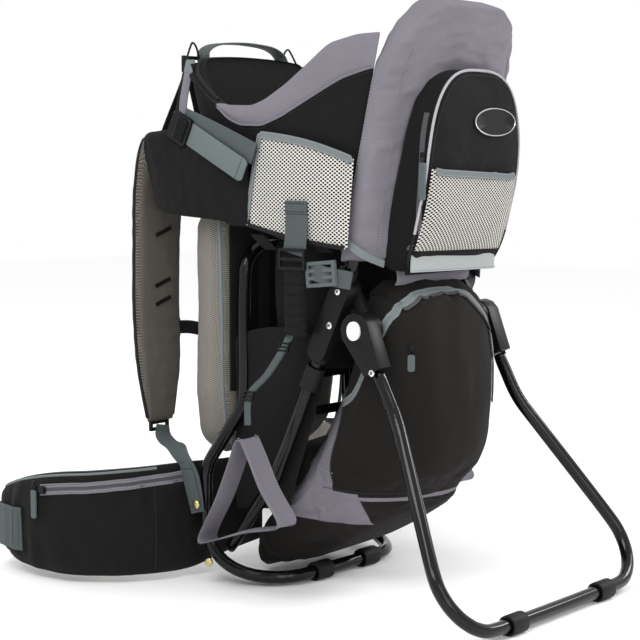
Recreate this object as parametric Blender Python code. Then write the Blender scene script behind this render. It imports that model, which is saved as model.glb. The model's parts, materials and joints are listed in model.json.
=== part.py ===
"""Baby carrier backpack: folding-kickstand child carrier with a tube frame, modelled piece by piece.

Units are metres. +X is the wearer's right, +Y the way the wearer faces, +Z up. The origin lies on the
floor under the middle of the whole object. Points are written with Y counted forward from the plane of
the kickstand hubs, and SHIFT_Y moves them so that the origin is central.
"""

import math

import bmesh
import bpy
from mathutils import Vector

# ---------------------------------------------------------------- driving dimensions
SHIFT_Y = -0.1940
GAP = 0.0004
TUBE_R = 0.0095
CLIP_WALL = 0.003
RAIL_Z = TUBE_R + CLIP_WALL

FRONT_HALF = 0.165
FRONT_RAIL_Y = 0.150
UPRIGHT_Y = 0.2666
UPPER_HALF = 0.118
UPPER_Y = 0.236
UPPER_TOP_Z = 0.475

REAR_HALF = 0.132
REAR_TOP_HALF = 0.120
REAR_TOP_Z = 0.770
REAR_TOP_Y = -0.040
REAR_BEND = (0.038, 0.430)
REAR_LOW = (0.166, 0.155)
REAR_FOOT = (0.244, 0.043)
REAR_FOOT_HALF = 0.1430

HUB = (0.0095, 0.372)
LEG_HALF = 0.1395
LEG_TOP = (-0.0204, 0.319)
KNEE = (-0.0526, 0.259)
KICK_HALF = 0.246
KICK_RAIL_Y = -0.215
KICK_CORNER_R = 0.069

FRONT_CLIP_X = 0.053
REAR_CLIP_X = 0.107
CLIP_LENGTH = 0.034

SOCKET_OUT = 0.152
SOCKET_IN = 0.127
BRACKET_OUT = 0.1462
BRACKET_IN = 0.118
PLATE_OUT = 0.1266
BUTTON_R = (0.0105, 0.0128)
BUTTON_PROUD = 0.0035
RECESS_DEPTH = 0.012
PIN_R = 0.004

COCKPIT_HALF = 0.150
WALL = 0.016
SEAT_HALF = 0.098

SIDES = (("left", -1), ("right", 1))


def P(x, y, z):
    """A point, with Y counted from the hub plane."""
    return Vector((x, y + SHIFT_Y, z))


# ---------------------------------------------------------------- materials
def material(name, colour, roughness, metallic=0.0):
    found = bpy.data.materials.get(name)
    if found:
        return found
    made = bpy.data.materials.new(name)
    made.use_nodes = True
    shader = made.node_tree.nodes["Principled BSDF"]
    shader.inputs["Base Color"].default_value = (*colour, 1.0)
    shader.inputs["Roughness"].default_value = roughness
    shader.inputs["Metallic"].default_value = metallic
    return made


BLACK_TUBE = ("black_painted_tube", (0.012, 0.012, 0.014), 0.22, 0.0)
BLACK_PLASTIC = ("black_plastic", (0.030, 0.032, 0.036), 0.42, 0.0)
GREY_PLASTIC = ("grey_plastic", (0.16, 0.18, 0.19), 0.45, 0.0)
RUBBER = ("black_rubber", (0.040, 0.042, 0.045), 0.75, 0.0)
BRASS = ("brass_bolt", (0.62, 0.50, 0.25), 0.30, 1.0)
STEEL = ("steel_pin", (0.62, 0.62, 0.62), 0.30, 1.0)
WHITE_PLASTIC = ("white_button", (0.85, 0.85, 0.85), 0.35, 0.0)
BLACK_FABRIC = ("black_fabric", (0.022, 0.020, 0.021), 0.90, 0.0)
LAVENDER_FABRIC = ("lavender_fabric", (0.34, 0.31, 0.36), 0.88, 0.0)
PALE_MESH = ("pale_mesh", (0.70, 0.67, 0.62), 0.90, 0.0)
PAD_MESH = ("pad_mesh", (0.36, 0.34, 0.31), 0.92, 0.0)
GREY_WEBBING = ("grey_webbing", (0.20, 0.24, 0.25), 0.80, 0.0)


# ---------------------------------------------------------------- shape helpers
def new_object(name, mesh_data, finish, smooth=False):
    obj = bpy.data.objects.new(name, mesh_data)
    bpy.context.scene.collection.objects.link(obj)
    if finish:
        mesh_data.materials.append(material(*finish))
    if smooth:
        mesh_data.shade_smooth()
        mesh_data.set_sharp_from_angle(angle=math.radians(40))
    return obj


def mesh_from(name, bm, finish, smooth=False):
    bmesh.ops.recalc_face_normals(bm, faces=bm.faces)
    mesh_data = bpy.data.meshes.new(name)
    bm.to_mesh(mesh_data)
    bm.free()
    return new_object(name, mesh_data, finish, smooth)


def loft(name, rings, finish, cyclic=False, smooth=True):
    """A closed body through rings of points, capped at both ends unless it runs round on itself."""
    bm = bmesh.new()
    loops = [[bm.verts.new(point) for point in ring] for ring in rings]
    count = len(loops[0])
    spans = len(loops) if cyclic else len(loops) - 1
    for i in range(spans):
        low = loops[i]
        high = loops[(i + 1) % len(loops)]
        for j in range(count):
            k = (j + 1) % count
            bm.faces.new((low[j], low[k], high[k], high[j]))
    if not cyclic:
        bm.faces.new(loops[0])
        bm.faces.new(loops[-1])
    return mesh_from(name, bm, finish, smooth)


def rounded_path(corners, radii, steps=5, cyclic=False):
    """The corners joined by straight runs, each inner corner turned into an arc of its radius."""
    count = len(corners)
    path = [] if cyclic else [corners[0]]
    inner = range(count) if cyclic else range(1, count - 1)
    for number, i in enumerate(inner):
        before = corners[i - 1]
        here = corners[i]
        after = corners[(i + 1) % count]
        back = (before - here).normalized()
        ahead = (after - here).normalized()
        half_angle = back.angle(ahead) / 2
        reach = radii[number] / math.tan(half_angle)
        centre = here + (back + ahead).normalized() * math.hypot(radii[number], reach)
        start = (here + back * reach - centre).normalized()
        finish = (here + ahead * reach - centre).normalized()
        for step in range(steps + 1):
            path.append(centre + start.slerp(finish, step / steps) * radii[number])
    if not cyclic:
        path.append(corners[-1])
    return path


def tube(name, path, radius, finish, sides=10, cyclic=False):
    """A round bar along the path, its rings carried along without twisting."""
    count = len(path)
    rings = []
    side = None
    for i in range(count):
        before = path[i - 1] if (i or cyclic) else path[i]
        after = path[(i + 1) % count] if (i < count - 1 or cyclic) else path[i]
        tangent = (after - before).normalized()
        if side is None:
            side = tangent.orthogonal().normalized()
        side = (side - tangent * side.dot(tangent)).normalized()
        up = tangent.cross(side)
        ring = []
        for j in range(sides):
            angle = 2 * math.pi * j / sides
            ring.append(path[i] + side * radius * math.cos(angle) + up * radius * math.sin(angle))
        rings.append(ring)
    return loft(name, rings, finish, cyclic=cyclic)


def ribbon(name, stations, finish, edge=0.35):
    """A flat band through stations of (centre, direction of its width, width, thickness)."""
    rings = []
    count = len(stations)
    for i, (centre, across, width, thickness) in enumerate(stations):
        before = stations[max(i - 1, 0)][0]
        after = stations[min(i + 1, count - 1)][0]
        tangent = (after - before).normalized()
        across = (across - tangent * across.dot(tangent)).normalized()
        normal = tangent.cross(across)
        w = width / 2
        t = thickness / 2
        e = min(edge * thickness, w * 0.8)
        outline = ((w, -t + e), (w, t - e), (w - e, t), (e - w, t), (-w, t - e), (-w, e - t), (e - w, -t), (w - e, -t))
        rings.append([centre + across * a + normal * b for a, b in outline])
    return loft(name, rings, finish)


def prism(name, outline, low, high, finish, bevel=0.0):
    """An outline of (y, z) pairs extruded along X from low to high."""
    near = [P(low, y, z) for y, z in outline]
    far = [P(high, y, z) for y, z in outline]
    obj = loft(name, [near, far], finish, smooth=False)
    if bevel:
        bevelled(obj, bevel)
    return obj


def bevelled(obj, width, segments=1):
    modifier = obj.modifiers.new("Bevel", "BEVEL")
    modifier.width = width
    modifier.segments = segments
    modifier.limit_method = "ANGLE"
    modifier.angle_limit = math.radians(50)


def capsule(start, end, r_start, r_end, steps=7):
    """The (y, z) outline of two discs joined by their outer tangents."""
    heading = math.atan2(end[1] - start[1], end[0] - start[0])
    points = []
    for centre, radius, turn in ((start, r_start, math.pi / 2), (end, r_end, -math.pi / 2)):
        for i in range(steps):
            angle = heading + turn + math.pi * i / (steps - 1)
            points.append((centre[0] + radius * math.cos(angle), centre[1] + radius * math.sin(angle)))
    return points


def disc(name, centre, low, high, r_y, r_z, finish, sides=16):
    """A round or oval plug along X."""
    outline = []
    for i in range(sides):
        angle = 2 * math.pi * i / sides
        outline.append((centre[0] + r_y * math.cos(angle), centre[1] + r_z * math.sin(angle)))
    return prism(name, outline, low, high, finish)


def span(side, near, far):
    """Two X values in rising order on the given side."""
    return sorted((side * near, side * far))


def join(target, other, operation):
    modifier = target.modifiers.new(operation.title(), "BOOLEAN")
    modifier.operation = operation
    modifier.object = other
    modifier.solver = "EXACT"
    other.hide_render = True
    other.display_type = "WIRE"


def slab(name, centre, size, finish, bevel=0.0, segments=1):
    """A box by its centre and size."""
    bm = bmesh.new()
    bmesh.ops.create_cube(bm, size=1.0)
    for vert in bm.verts:
        vert.co = Vector((vert.co[i] * size[i] for i in range(3))) + centre
    obj = mesh_from(name, bm, finish)
    if bevel:
        bevelled(obj, bevel, segments)
    return obj


# ---------------------------------------------------------------- frame tubes
def bezier(start, start_pull, end_pull, end, steps):
    """Points along a cubic curve between two ends and their two handles."""
    points = []
    for i in range(steps + 1):
        t = i / steps
        u = 1 - t
        points.append(start * u**3 + start_pull * 3 * u * u * t + end_pull * 3 * u * t * t + end * t**3)
    return points


def front_half_path(side):
    """From the middle of the floor rail, round the swept foot and up the upright to the top bar's middle."""
    foot = bezier(
        P(side * 0.074, FRONT_RAIL_Y, RAIL_Z),
        P(side * 0.158, FRONT_RAIL_Y, RAIL_Z),
        P(side * FRONT_HALF, UPRIGHT_Y - 0.002, RAIL_Z - 0.010),
        P(side * FRONT_HALF, UPRIGHT_Y, 0.085),
        12,
    )
    corners = [
        P(side * FRONT_HALF, UPRIGHT_Y, 0.100),
        P(side * FRONT_HALF, UPRIGHT_Y, 0.165),
        P(side * UPPER_HALF, UPPER_Y, 0.250),
        P(side * UPPER_HALF, UPPER_Y, UPPER_TOP_Z),
        P(0, UPPER_Y, UPPER_TOP_Z),
    ]
    return foot + rounded_path(corners, (0.060, 0.060, 0.045), steps=4)


def front_loop_path():
    left = front_half_path(-1)
    right = front_half_path(1)
    return left + right[-2::-1]


def rear_half_corners(side):
    return [
        P(side * REAR_FOOT_HALF, *REAR_FOOT),
        P(side * REAR_HALF, *REAR_LOW),
        P(side * REAR_HALF, *REAR_BEND),
        P(side * REAR_TOP_HALF, REAR_TOP_Y, REAR_TOP_Z),
    ]


def rear_tube_y(z):
    """Where the straight upper part of the rear tube stands at a height."""
    slope = (REAR_TOP_Y - REAR_BEND[0]) / (REAR_TOP_Z - REAR_BEND[1])
    return REAR_BEND[0] + (z - REAR_BEND[1]) * slope


def rear_tube_path():
    left = rear_half_corners(-1)
    right = rear_half_corners(1)
    return rounded_path(left + right[::-1], (0.10, 0.16, 0.06, 0.06, 0.16, 0.10), steps=4)


def frame_tubes():
    tube("front_frame_tube", front_loop_path(), TUBE_R, BLACK_TUBE, cyclic=True)
    tube("rear_frame_tube", rear_tube_path(), TUBE_R, BLACK_TUBE)
    reach = REAR_HALF - TUBE_R - GAP
    y, z = 0.1212, 0.250
    tube("seat_cross_tube", [P(-reach, y, z), P(0, y, z), P(reach, y, z)], 0.0075, BLACK_TUBE, sides=8)


# ---------------------------------------------------------------- kickstand and its hinges
def kick_path():
    corners = []
    for side in (-1, 1):
        half = [
            P(side * LEG_HALF, *LEG_TOP),
            P(side * LEG_HALF, *KNEE),
            P(side * KICK_HALF, KICK_RAIL_Y, RAIL_Z),
        ]
        corners.extend(half if side < 0 else half[::-1])
    return rounded_path(corners, (0.12, KICK_CORNER_R, KICK_CORNER_R, 0.12), steps=6)


def kickstand():
    tube("kickstand_tube", kick_path(), TUBE_R, BLACK_TUBE)
    along = Vector((KNEE[0] - LEG_TOP[0], KNEE[1] - LEG_TOP[1])).normalized()
    end = (LEG_TOP[0] - along.x * (GAP + 0.0001), LEG_TOP[1] - along.y * (GAP + 0.0001))
    across = Vector((-along.y, along.x))
    for label, side in SIDES:
        half_round = capsule(HUB, end, 0.0235, 0.0145)[:7]
        outline = half_round + [
            (end[0] + across.x * 0.0145, end[1] + across.y * 0.0145),
            (end[0] - across.x * 0.0145, end[1] - across.y * 0.0145),
        ]
        outline = ordered(outline)
        socket = prism("kickstand_socket_" + label, outline, *span(side, SOCKET_OUT, SOCKET_IN), BLACK_PLASTIC)
        floor = SOCKET_OUT - RECESS_DEPTH
        recess = disc("recess_cutter_" + label, HUB, *span(side, SOCKET_OUT + 0.01, floor),
                      BUTTON_R[0] + 0.0005, BUTTON_R[1] + 0.0005, None)
        join(socket, recess, "DIFFERENCE")
        bore = disc("bore_cutter_" + label, HUB, *span(side, floor + 0.002, 0.10), PIN_R + 0.0003, PIN_R + 0.0003, None)
        join(socket, bore, "DIFFERENCE")
        disc("press_button_" + label, HUB, *span(side, SOCKET_OUT + BUTTON_PROUD, SOCKET_OUT - 0.0055),
             *BUTTON_R, WHITE_PLASTIC)
        disc("button_spring_" + label, HUB, *span(side, floor + 0.0024, floor + GAP), 0.0065, 0.0065, STEEL)
        hinge_bracket(label, side, bore)
        hinge_pin(label, side)


def ordered(outline):
    """The points of a convex outline in turning order round their middle."""
    middle = (sum(y for y, _ in outline) / len(outline), sum(z for _, z in outline) / len(outline))
    return sorted(outline, key=lambda point: math.atan2(point[1] - middle[1], point[0] - middle[0]))


def hinge_pin(label, side):
    pin = disc("hinge_pin_" + label, HUB, *span(side, SOCKET_OUT - RECESS_DEPTH - 0.001, BRACKET_IN - 0.002),
               PIN_R, PIN_R, STEEL, sides=12)
    head = disc("pin_head_" + label, HUB, *span(side, BRACKET_IN - GAP, BRACKET_IN - 0.0035), 0.008, 0.008, None)
    join(pin, head, "UNION")


def hinge_bracket(label, side, bore):
    """The moulding that clamps the rear tube above and below its bend and carries the hub plate."""
    top = (0.0400, 0.4240)
    low = (0.0800, 0.3400)
    clamp = prism("hinge_bracket_" + label, capsule(top, low, 0.0155, 0.0155), *span(side, BRACKET_OUT, BRACKET_IN),
                  BLACK_PLASTIC)
    plate = prism("plate_" + label, capsule(HUB, (0.052, 0.378), 0.0225, 0.024), *span(side, PLATE_OUT, BRACKET_IN), None)
    strut = prism("strut_" + label, capsule((0.034, 0.422), (0.010, 0.385), 0.0085, 0.0085),
                  *span(side, PLATE_OUT, BRACKET_IN), None)
    join(clamp, plate, "UNION")
    join(clamp, strut, "UNION")
    corners = rear_half_corners(side)[1:]
    channel = tube("channel_" + label, rounded_path(corners, (0.16,), steps=4), TUBE_R + GAP, None)
    join(clamp, channel, "DIFFERENCE")
    join(clamp, bore, "DIFFERENCE")


def foot_clip(name, x, y):
    """A rubber sleeve round the rail with a flat sole."""
    inner = TUBE_R + GAP
    outer = TUBE_R + CLIP_WALL
    low, high = x - CLIP_LENGTH / 2, x + CLIP_LENGTH / 2
    steps = 16
    profile = []
    for i in range(steps):
        angle = 2 * math.pi * i / steps
        profile.append((math.cos(angle), math.sin(angle)))
    sole = [(max(min(c * outer * 1.08, outer), -outer), max(s * outer * 1.1, -RAIL_Z)) for c, s in profile]
    hole = [(c * inner, s * inner) for c, s in profile]
    rings = []
    for outline, at in ((sole, low), (sole, high), (hole, high), (hole, low)):
        rings.append([P(at, y + a, RAIL_Z + b) for a, b in outline])
    loft(name, rings, RUBBER, cyclic=True, smooth=False)


def feet():
    for label, side in SIDES:
        foot_clip("front_foot_" + label, side * FRONT_CLIP_X, FRONT_RAIL_Y)
        foot_clip("rear_foot_" + label, side * REAR_CLIP_X, KICK_RAIL_Y)


def sleeve(name, start, end, inner, outer, finish, sides=12):
    """A hollow sleeve between two points."""
    axis = (end - start).normalized()
    side = axis.orthogonal().normalized()
    up = axis.cross(side)
    rings = []
    for centre, radius in ((start, outer), (end, outer), (end, inner), (start, inner)):
        ring = []
        for j in range(sides):
            angle = 2 * math.pi * j / sides
            ring.append(centre + side * radius * math.cos(angle) + up * radius * math.sin(angle))
        rings.append(ring)
    return loft(name, rings, finish, cyclic=True, smooth=False)


def grips_and_bolts():
    slope = Vector((0, REAR_LOW[0] - REAR_BEND[0], REAR_LOW[1] - REAR_BEND[1])).normalized()
    for label, side in SIDES:
        bend = P(side * REAR_HALF, *REAR_BEND)
        sleeve("tube_grip_" + label, bend + slope * 0.124, bend + slope * 0.158,
               TUBE_R + GAP * 2, 0.0140, RUBBER)
        outer = FRONT_HALF + TUBE_R + GAP
        bolt = disc("lower_bolt_" + label, (0.2500, 0.0315), *span(side, outer + 0.0005, outer + 0.006),
                    0.0065, 0.0065, BRASS, sides=12)
        bevelled(bolt, 0.0012)
        bolt = disc("upper_bolt_" + label, (0.2690, 0.112), *span(side, outer + 0.0054, outer + 0.0105),
                    0.0065, 0.0065, BRASS, sides=12)
        bevelled(bolt, 0.0012)


# ---------------------------------------------------------------- back panel, pad and straps
def back_panel():
    """The stiff board behind the wearer, upright to the shoulders, then leaning forward to the cockpit rim."""
    front = [(0.2595, 0.268), (0.2595, 0.500), (0.3330, 0.725)]
    back = [(0.3245, 0.728), (0.2510, 0.503), (0.2510, 0.268)]
    prism("back_panel", front + back, -0.128, 0.128, BLACK_FABRIC)


def back_pad():
    """The wearer's mesh pad: a crowned slab that is fullest at the lumbar."""
    rings = []
    for z, half, front in ((0.172, 0.098, 0.330), (0.200, 0.118, 0.338), (0.260, 0.130, 0.334),
                           (0.380, 0.132, 0.328), (0.500, 0.132, 0.330), (0.535, 0.122, 0.322)):
        rear = 0.2605 + max(0.0, z - 0.500) * 0.34
        ring = []
        for x, y in ((-half, rear), (half, rear), (half, front - 0.020), (half - 0.018, front - 0.004),
                     (0.5 * half, front), (0, front - 0.006), (-0.5 * half, front), (0.018 - half, front - 0.004),
                     (-half, front - 0.020)):
            ring.append(P(x, y, z))
        rings.append(ring)
    loft("back_pad", rings, PAD_MESH)


def yoke():
    """The black shoulder yoke in front of the board, with the roots of both straps at its ends."""
    rings = []
    for z, y in ((0.548, 0.291), (0.640, 0.321), (0.722, 0.348)):
        half = 0.118
        ring = [P(-half, y - 0.012, z), P(half, y - 0.012, z), P(half, y + 0.006, z),
                P(0.6 * half, y + 0.012, z), P(-0.6 * half, y + 0.012, z), P(-half, y + 0.006, z)]
        rings.append(ring)
    loft("shoulder_yoke", rings, BLACK_FABRIC)


def shoulder_stations(side):
    """The strap's root stands on edge beside the cockpit, then turns flat as it drops in front of the wearer."""
    rows = (
        ((0.1605, 0.262, 0.575), (0, 0, 1), 0.120, 0.012),
        ((0.1605, 0.318, 0.576), (0, 0, 1), 0.118, 0.014),
        ((0.1560, 0.362, 0.577), (0.10, 0, 1), 0.112, 0.018),
        ((0.1380, 0.390, 0.574), (0.40, 0, 0.9), 0.112, 0.021),
        ((0.1200, 0.405, 0.545), (0.85, 0, 0.55), 0.104, 0.021),
        ((0.1170, 0.412, 0.490), (1, 0, 0.12), 0.092, 0.021),
        ((0.1180, 0.413, 0.380), (1, 0, 0), 0.090, 0.021),
        ((0.1200, 0.407, 0.290), (1, 0, 0), 0.082, 0.020),
        ((0.1280, 0.396, 0.215), (1, 0, 0), 0.052, 0.016),
    )
    stations = []
    for (x, y, z), (ax, ay, az), width, thickness in rows:
        stations.append((P(side * x, y, z), Vector((side * ax, ay, az)), width, thickness))
    return stations


def strap_webbing_stations(side):
    rows = (
        ((0.126, 0.392, 0.203), (1, 0, 0)),
        ((0.131, 0.386, 0.190), (1, 0.3, 0)),
        ((0.146, 0.360, 0.185), (1, 0.8, -0.1)),
        ((0.166, 0.325, 0.184), (0.75, 0.6, -0.3)),
        ((0.1786, 0.296, 0.170), (0, 0.62, -0.75)),
        ((0.1786, 0.279, 0.145), (0, 0.94, -0.34)),
        ((0.1786, 0.270, 0.098), (0, 0.98, -0.19)),
    )
    return [(P(side * x, y, z), Vector((side * ax, ay, az)), 0.024, 0.002) for (x, y, z), (ax, ay, az) in rows]


def straps():
    for label, side in SIDES:
        ribbon("shoulder_strap_" + label, shoulder_stations(side), PAD_MESH)
        ribbon("strap_webbing_" + label, strap_webbing_stations(side), GREY_WEBBING)
        lifter = (
            (P(side * 0.0985, 0.3625, 0.722), Vector((1, 0, 0)), 0.022, 0.003),
            (P(side * 0.1100, 0.3680, 0.690), Vector((1, 0, 0)), 0.022, 0.003),
            (P(side * 0.1290, 0.3740, 0.640), Vector((1, 0, 0)), 0.022, 0.003),
        )
        ribbon("load_lifter_" + label, lifter, BLACK_FABRIC)
        chest = (
            (P(side * 0.069, 0.4135, 0.345), Vector((0, 0, 1)), 0.020, 0.003),
            (P(side * 0.045, 0.4135, 0.343), Vector((0, 0, 1)), 0.020, 0.003),
            (P(side * 0.020, 0.4100, 0.338), Vector((0, 0, 1)), 0.020, 0.003),
        )
        ribbon("chest_strap_" + label, chest, BLACK_FABRIC)


# ---------------------------------------------------------------- hip belt
def belt_stations(side):
    rows = (
        ((0.012, 0.300), 0.030, 0.160, 0.024),
        ((0.090, 0.303), 0.022, 0.162, 0.028),
        ((0.160, 0.309), 0.010, 0.164, 0.026),
        ((0.222, 0.337), 0.008, 0.162, 0.036),
        ((0.270, 0.382), 0.008, 0.158, 0.046),
        ((0.297, 0.440), 0.010, 0.152, 0.044),
        ((0.300, 0.500), 0.018, 0.136, 0.034),
        ((0.284, 0.548), 0.026, 0.112, 0.024),
        ((0.262, 0.578), 0.034, 0.092, 0.018),
    )
    stations = []
    for (x, y), low, high, thickness in rows:
        stations.append((P(side * x, y, (low + high) / 2), Vector((0, 0, 1)), high - low, thickness))
    return stations


def hip_belt():
    for label, side in SIDES:
        ribbon("hip_belt_" + label, belt_stations(side), BLACK_FABRIC)
        webbing = (
            (P(side * 0.256, 0.5835, 0.062), Vector((0, 0, 1)), 0.038, 0.003),
            (P(side * 0.232, 0.6000, 0.058), Vector((0, 0, 1)), 0.038, 0.003),
            (P(side * 0.2060, 0.6080, 0.0560), Vector((0, 0, 1)), 0.038, 0.003),
        )
        ribbon("hip_webbing_" + label, webbing, GREY_WEBBING)
        slab("hip_buckle_" + label, P(side * 0.1845, 0.6085, 0.0540), (0.036, 0.014, 0.044), BLACK_PLASTIC, 0.004)
        zip_pull("zip_pull_hip_" + label, P(side * 0.3245, 0.448, 0.144), Vector((side, 0, 0)), 0.054)


# ---------------------------------------------------------------- child's cockpit, seat and hood
def plan_ring(half, rear, front, corner, z_of, lean, steps=3):
    """A rounded rectangle seen from above; z_of gives each point's height and lean its forward shift there."""
    points = []
    for sx, sy, start in ((1, 1, 0), (-1, 1, 90), (-1, -1, 180), (1, -1, 270)):
        centre_x = sx * (half - corner)
        centre_y = (front - corner) if sy > 0 else (rear + corner)
        for i in range(steps + 1):
            angle = math.radians(start + 90 * i / steps)
            x = centre_x + corner * math.cos(angle)
            y = centre_y + corner * math.sin(angle)
            z = z_of(y)
            points.append(P(x, y + lean(y, z), z))
    return points


def cockpit():
    """The child's cockpit: a padded wall all round, open above and below, its side rims dipping at the front."""
    def lean(y, z):
        forward = max(0.0, z - 0.500) * 0.3267
        return forward if y > 0.16 else -forward * 0.62

    def flat(level):
        return lambda y: level

    def rim(y):
        if y > 0.205:
            return 0.722
        return 0.742

    outer_low = plan_ring(COCKPIT_HALF, 0.062, 0.2475, 0.030, flat(0.486), lean)
    outer_mid = plan_ring(COCKPIT_HALF, 0.062, 0.2475, 0.030, flat(0.500), lean)
    outer_top = plan_ring(COCKPIT_HALF, 0.062, 0.2475, 0.030, rim, lean)
    inner_top = plan_ring(COCKPIT_HALF - WALL, 0.062 + WALL, 0.2475 - WALL, 0.020, rim, lean)
    inner_mid = plan_ring(COCKPIT_HALF - WALL, 0.062 + WALL, 0.2475 - WALL, 0.020, flat(0.500), lean)
    inner_low = plan_ring(COCKPIT_HALF - WALL, 0.062 + WALL, 0.2475 - WALL, 0.020, flat(0.486), lean)
    wall = loft("cockpit_wall", [outer_low, outer_mid, outer_top, inner_top, inner_mid, inner_low], BLACK_FABRIC,
                cyclic=True)
    for label, side in SIDES:
        dip = [(0.100, 0.80), (0.165, 0.690), (0.205, 0.655), (0.262, 0.655), (0.290, 0.80)]
        cutter = prism("dip_cutter_" + label, dip, *span(side, 0.20, COCKPIT_HALF - WALL - 0.012), None)
        join(wall, cutter, "DIFFERENCE")


def child_seat():
    """The sling seat hanging inside the frame: a deep cup open above."""
    def ring(half, rear, front, z):
        return plan_ring(half, rear, front, 0.030, lambda y: z, lambda y, level: 0.0)

    outer = [ring(0.060, 0.110, 0.200, 0.300), ring(0.088, 0.088, 0.218, 0.330), ring(SEAT_HALF, 0.088, 0.222, 0.400),
             ring(SEAT_HALF, 0.082, 0.222, 0.478)]
    inner = [ring(SEAT_HALF - 0.012, 0.094, 0.210, 0.478), ring(SEAT_HALF - 0.012, 0.100, 0.210, 0.400),
             ring(0.074, 0.102, 0.206, 0.345), ring(0.050, 0.124, 0.188, 0.318)]
    loft("child_seat", outer + inner, BLACK_FABRIC)


def hood():
    """The tall padded panel behind the child's head, closed over the top of the rear tube."""
    half, top, bottom, corner = 0.140, 0.806, 0.462, 0.072
    chamfer = 0.028
    front_gap, edge_gap, rear_gap = 0.0155, 0.0125, 0.0265
    outline = [(half, bottom)]
    for i in range(5):
        angle = math.radians(90 * i / 4)
        outline.append((half - corner + corner * math.cos(angle), top - corner + corner * math.sin(angle)))
    outline += [(-x, z) for x, z in outline[::-1]]
    shrink_x = (half - chamfer) / half
    shrink_z = (top - chamfer - bottom) / (top - bottom)
    front = [P(x, rear_tube_y(z) + front_gap, z) for x, z in outline]
    edge = [P(x, rear_tube_y(z) - edge_gap, z) for x, z in outline]
    rear = []
    for x, z in outline:
        lower = bottom + (z - bottom) * shrink_z
        rear.append(P(x * shrink_x, rear_tube_y(lower) - rear_gap, lower))
    panel = loft("hood", [front, edge, rear], LAVENDER_FABRIC)
    channel = tube("hood_channel", rear_tube_path(), TUBE_R + 0.0008, None)
    join(panel, channel, "DIFFERENCE")


def daypack():
    """The zipped pouch on the hood's back, with its blank oval badge and zip puller."""
    hood_back = 0.0275
    rows = (
        (0.455, 0.098, -0.0345), (0.490, 0.102, -0.0490), (0.530, 0.104, -0.0610), (0.575, 0.104, -0.0700),
        (0.640, 0.104, -0.0760), (0.690, 0.096, -0.0790), (0.716, 0.070, -0.0780), (0.724, 0.040, -0.0740),
    )
    rings = []
    for z, half, deepest in rows:
        front = rear_tube_y(z) - hood_back
        rear = min(deepest, front - 0.012)
        rings.append([
            P(-half, front, z), P(half, front, z), P(half, rear + 0.014, z), P(half - 0.016, rear + 0.002, z),
            P(0, rear, z), P(0.016 - half, rear + 0.002, z), P(-half, rear + 0.014, z),
        ])
    loft("daypack", rings, BLACK_FABRIC)
    centre_x, centre_z, half_wide, half_high = 0.033, 0.645, 0.050, 0.0195
    corners = 20
    outline = []
    for i in range(corners):
        angle = 2 * math.pi * i / corners
        outline.append((centre_x + half_wide * math.cos(angle), centre_z + half_high * math.sin(angle)))
    near = [P(x, -0.0790, z) for x, z in outline]
    far = [P(x, -0.0820, z) for x, z in outline]
    loft("blank_badge", [near, far], BLACK_PLASTIC, smooth=False)
    zip_pull("zip_pull_daypack", P(-0.106, -0.068, 0.604), Vector((-1, 0, 0)), 0.062)


def zip_pull(name, top, outward, length):
    """A flat puller hanging from its slider, clear of the cloth by a millimetre."""
    across = Vector((0, 0, 1)).cross(outward)
    centre = top + outward * 0.0030
    stations = []
    for drop, width in ((0.0, 0.006), (0.3, 0.010), (0.85, 0.011), (1.0, 0.007)):
        stations.append((centre - Vector((0, 0, length * drop)), across, width, 0.0030))
    ribbon(name, stations, GREY_PLASTIC)


# ---------------------------------------------------------------- storage bag, pockets and stirrups
def storage_bag():
    rows = (
        (0.014, 0.084, 0.222, 0.244), (0.040, 0.096, 0.160, 0.242), (0.066, 0.103, 0.098, 0.230),
        (0.100, 0.107, 0.036, 0.200), (0.140, 0.108, -0.020, 0.168), (0.190, 0.110, -0.048, 0.128),
        (0.240, 0.110, -0.057, 0.104), (0.300, 0.109, -0.057, 0.086), (0.345, 0.107, -0.053, 0.072),
        (0.395, 0.102, -0.038, 0.056), (0.432, 0.082, -0.012, 0.036),
    )
    rings = []
    for z, half, rear, front in rows:
        depth = front - rear
        ring = [P(-half, front, z), P(half, front, z), P(half, rear + 0.45 * depth, z),
                P(half * 0.86, rear + 0.14 * depth, z), P(half * 0.45, rear, z), P(-half * 0.45, rear, z),
                P(-half * 0.86, rear + 0.14 * depth, z), P(-half, rear + 0.45 * depth, z)]
        rings.append(ring)
    loft("storage_bag", rings, BLACK_FABRIC)
    zip_pull("zip_pull_bag", P(-0.0918, -0.0386, 0.352), Vector((-0.76, -0.65, 0)), 0.036)


def mesh_pockets():
    for label, side in SIDES:
        outer = COCKPIT_HALF + 0.0125
        outline = ((0.192, 0.630), (0.012, 0.606), (0.026, 0.488), (0.196, 0.506))
        near, far = span(side, COCKPIT_HALF + 0.002, outer)
        prism("side_pocket_" + label, outline, near, far, PALE_MESH, bevel=0.003)


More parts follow.
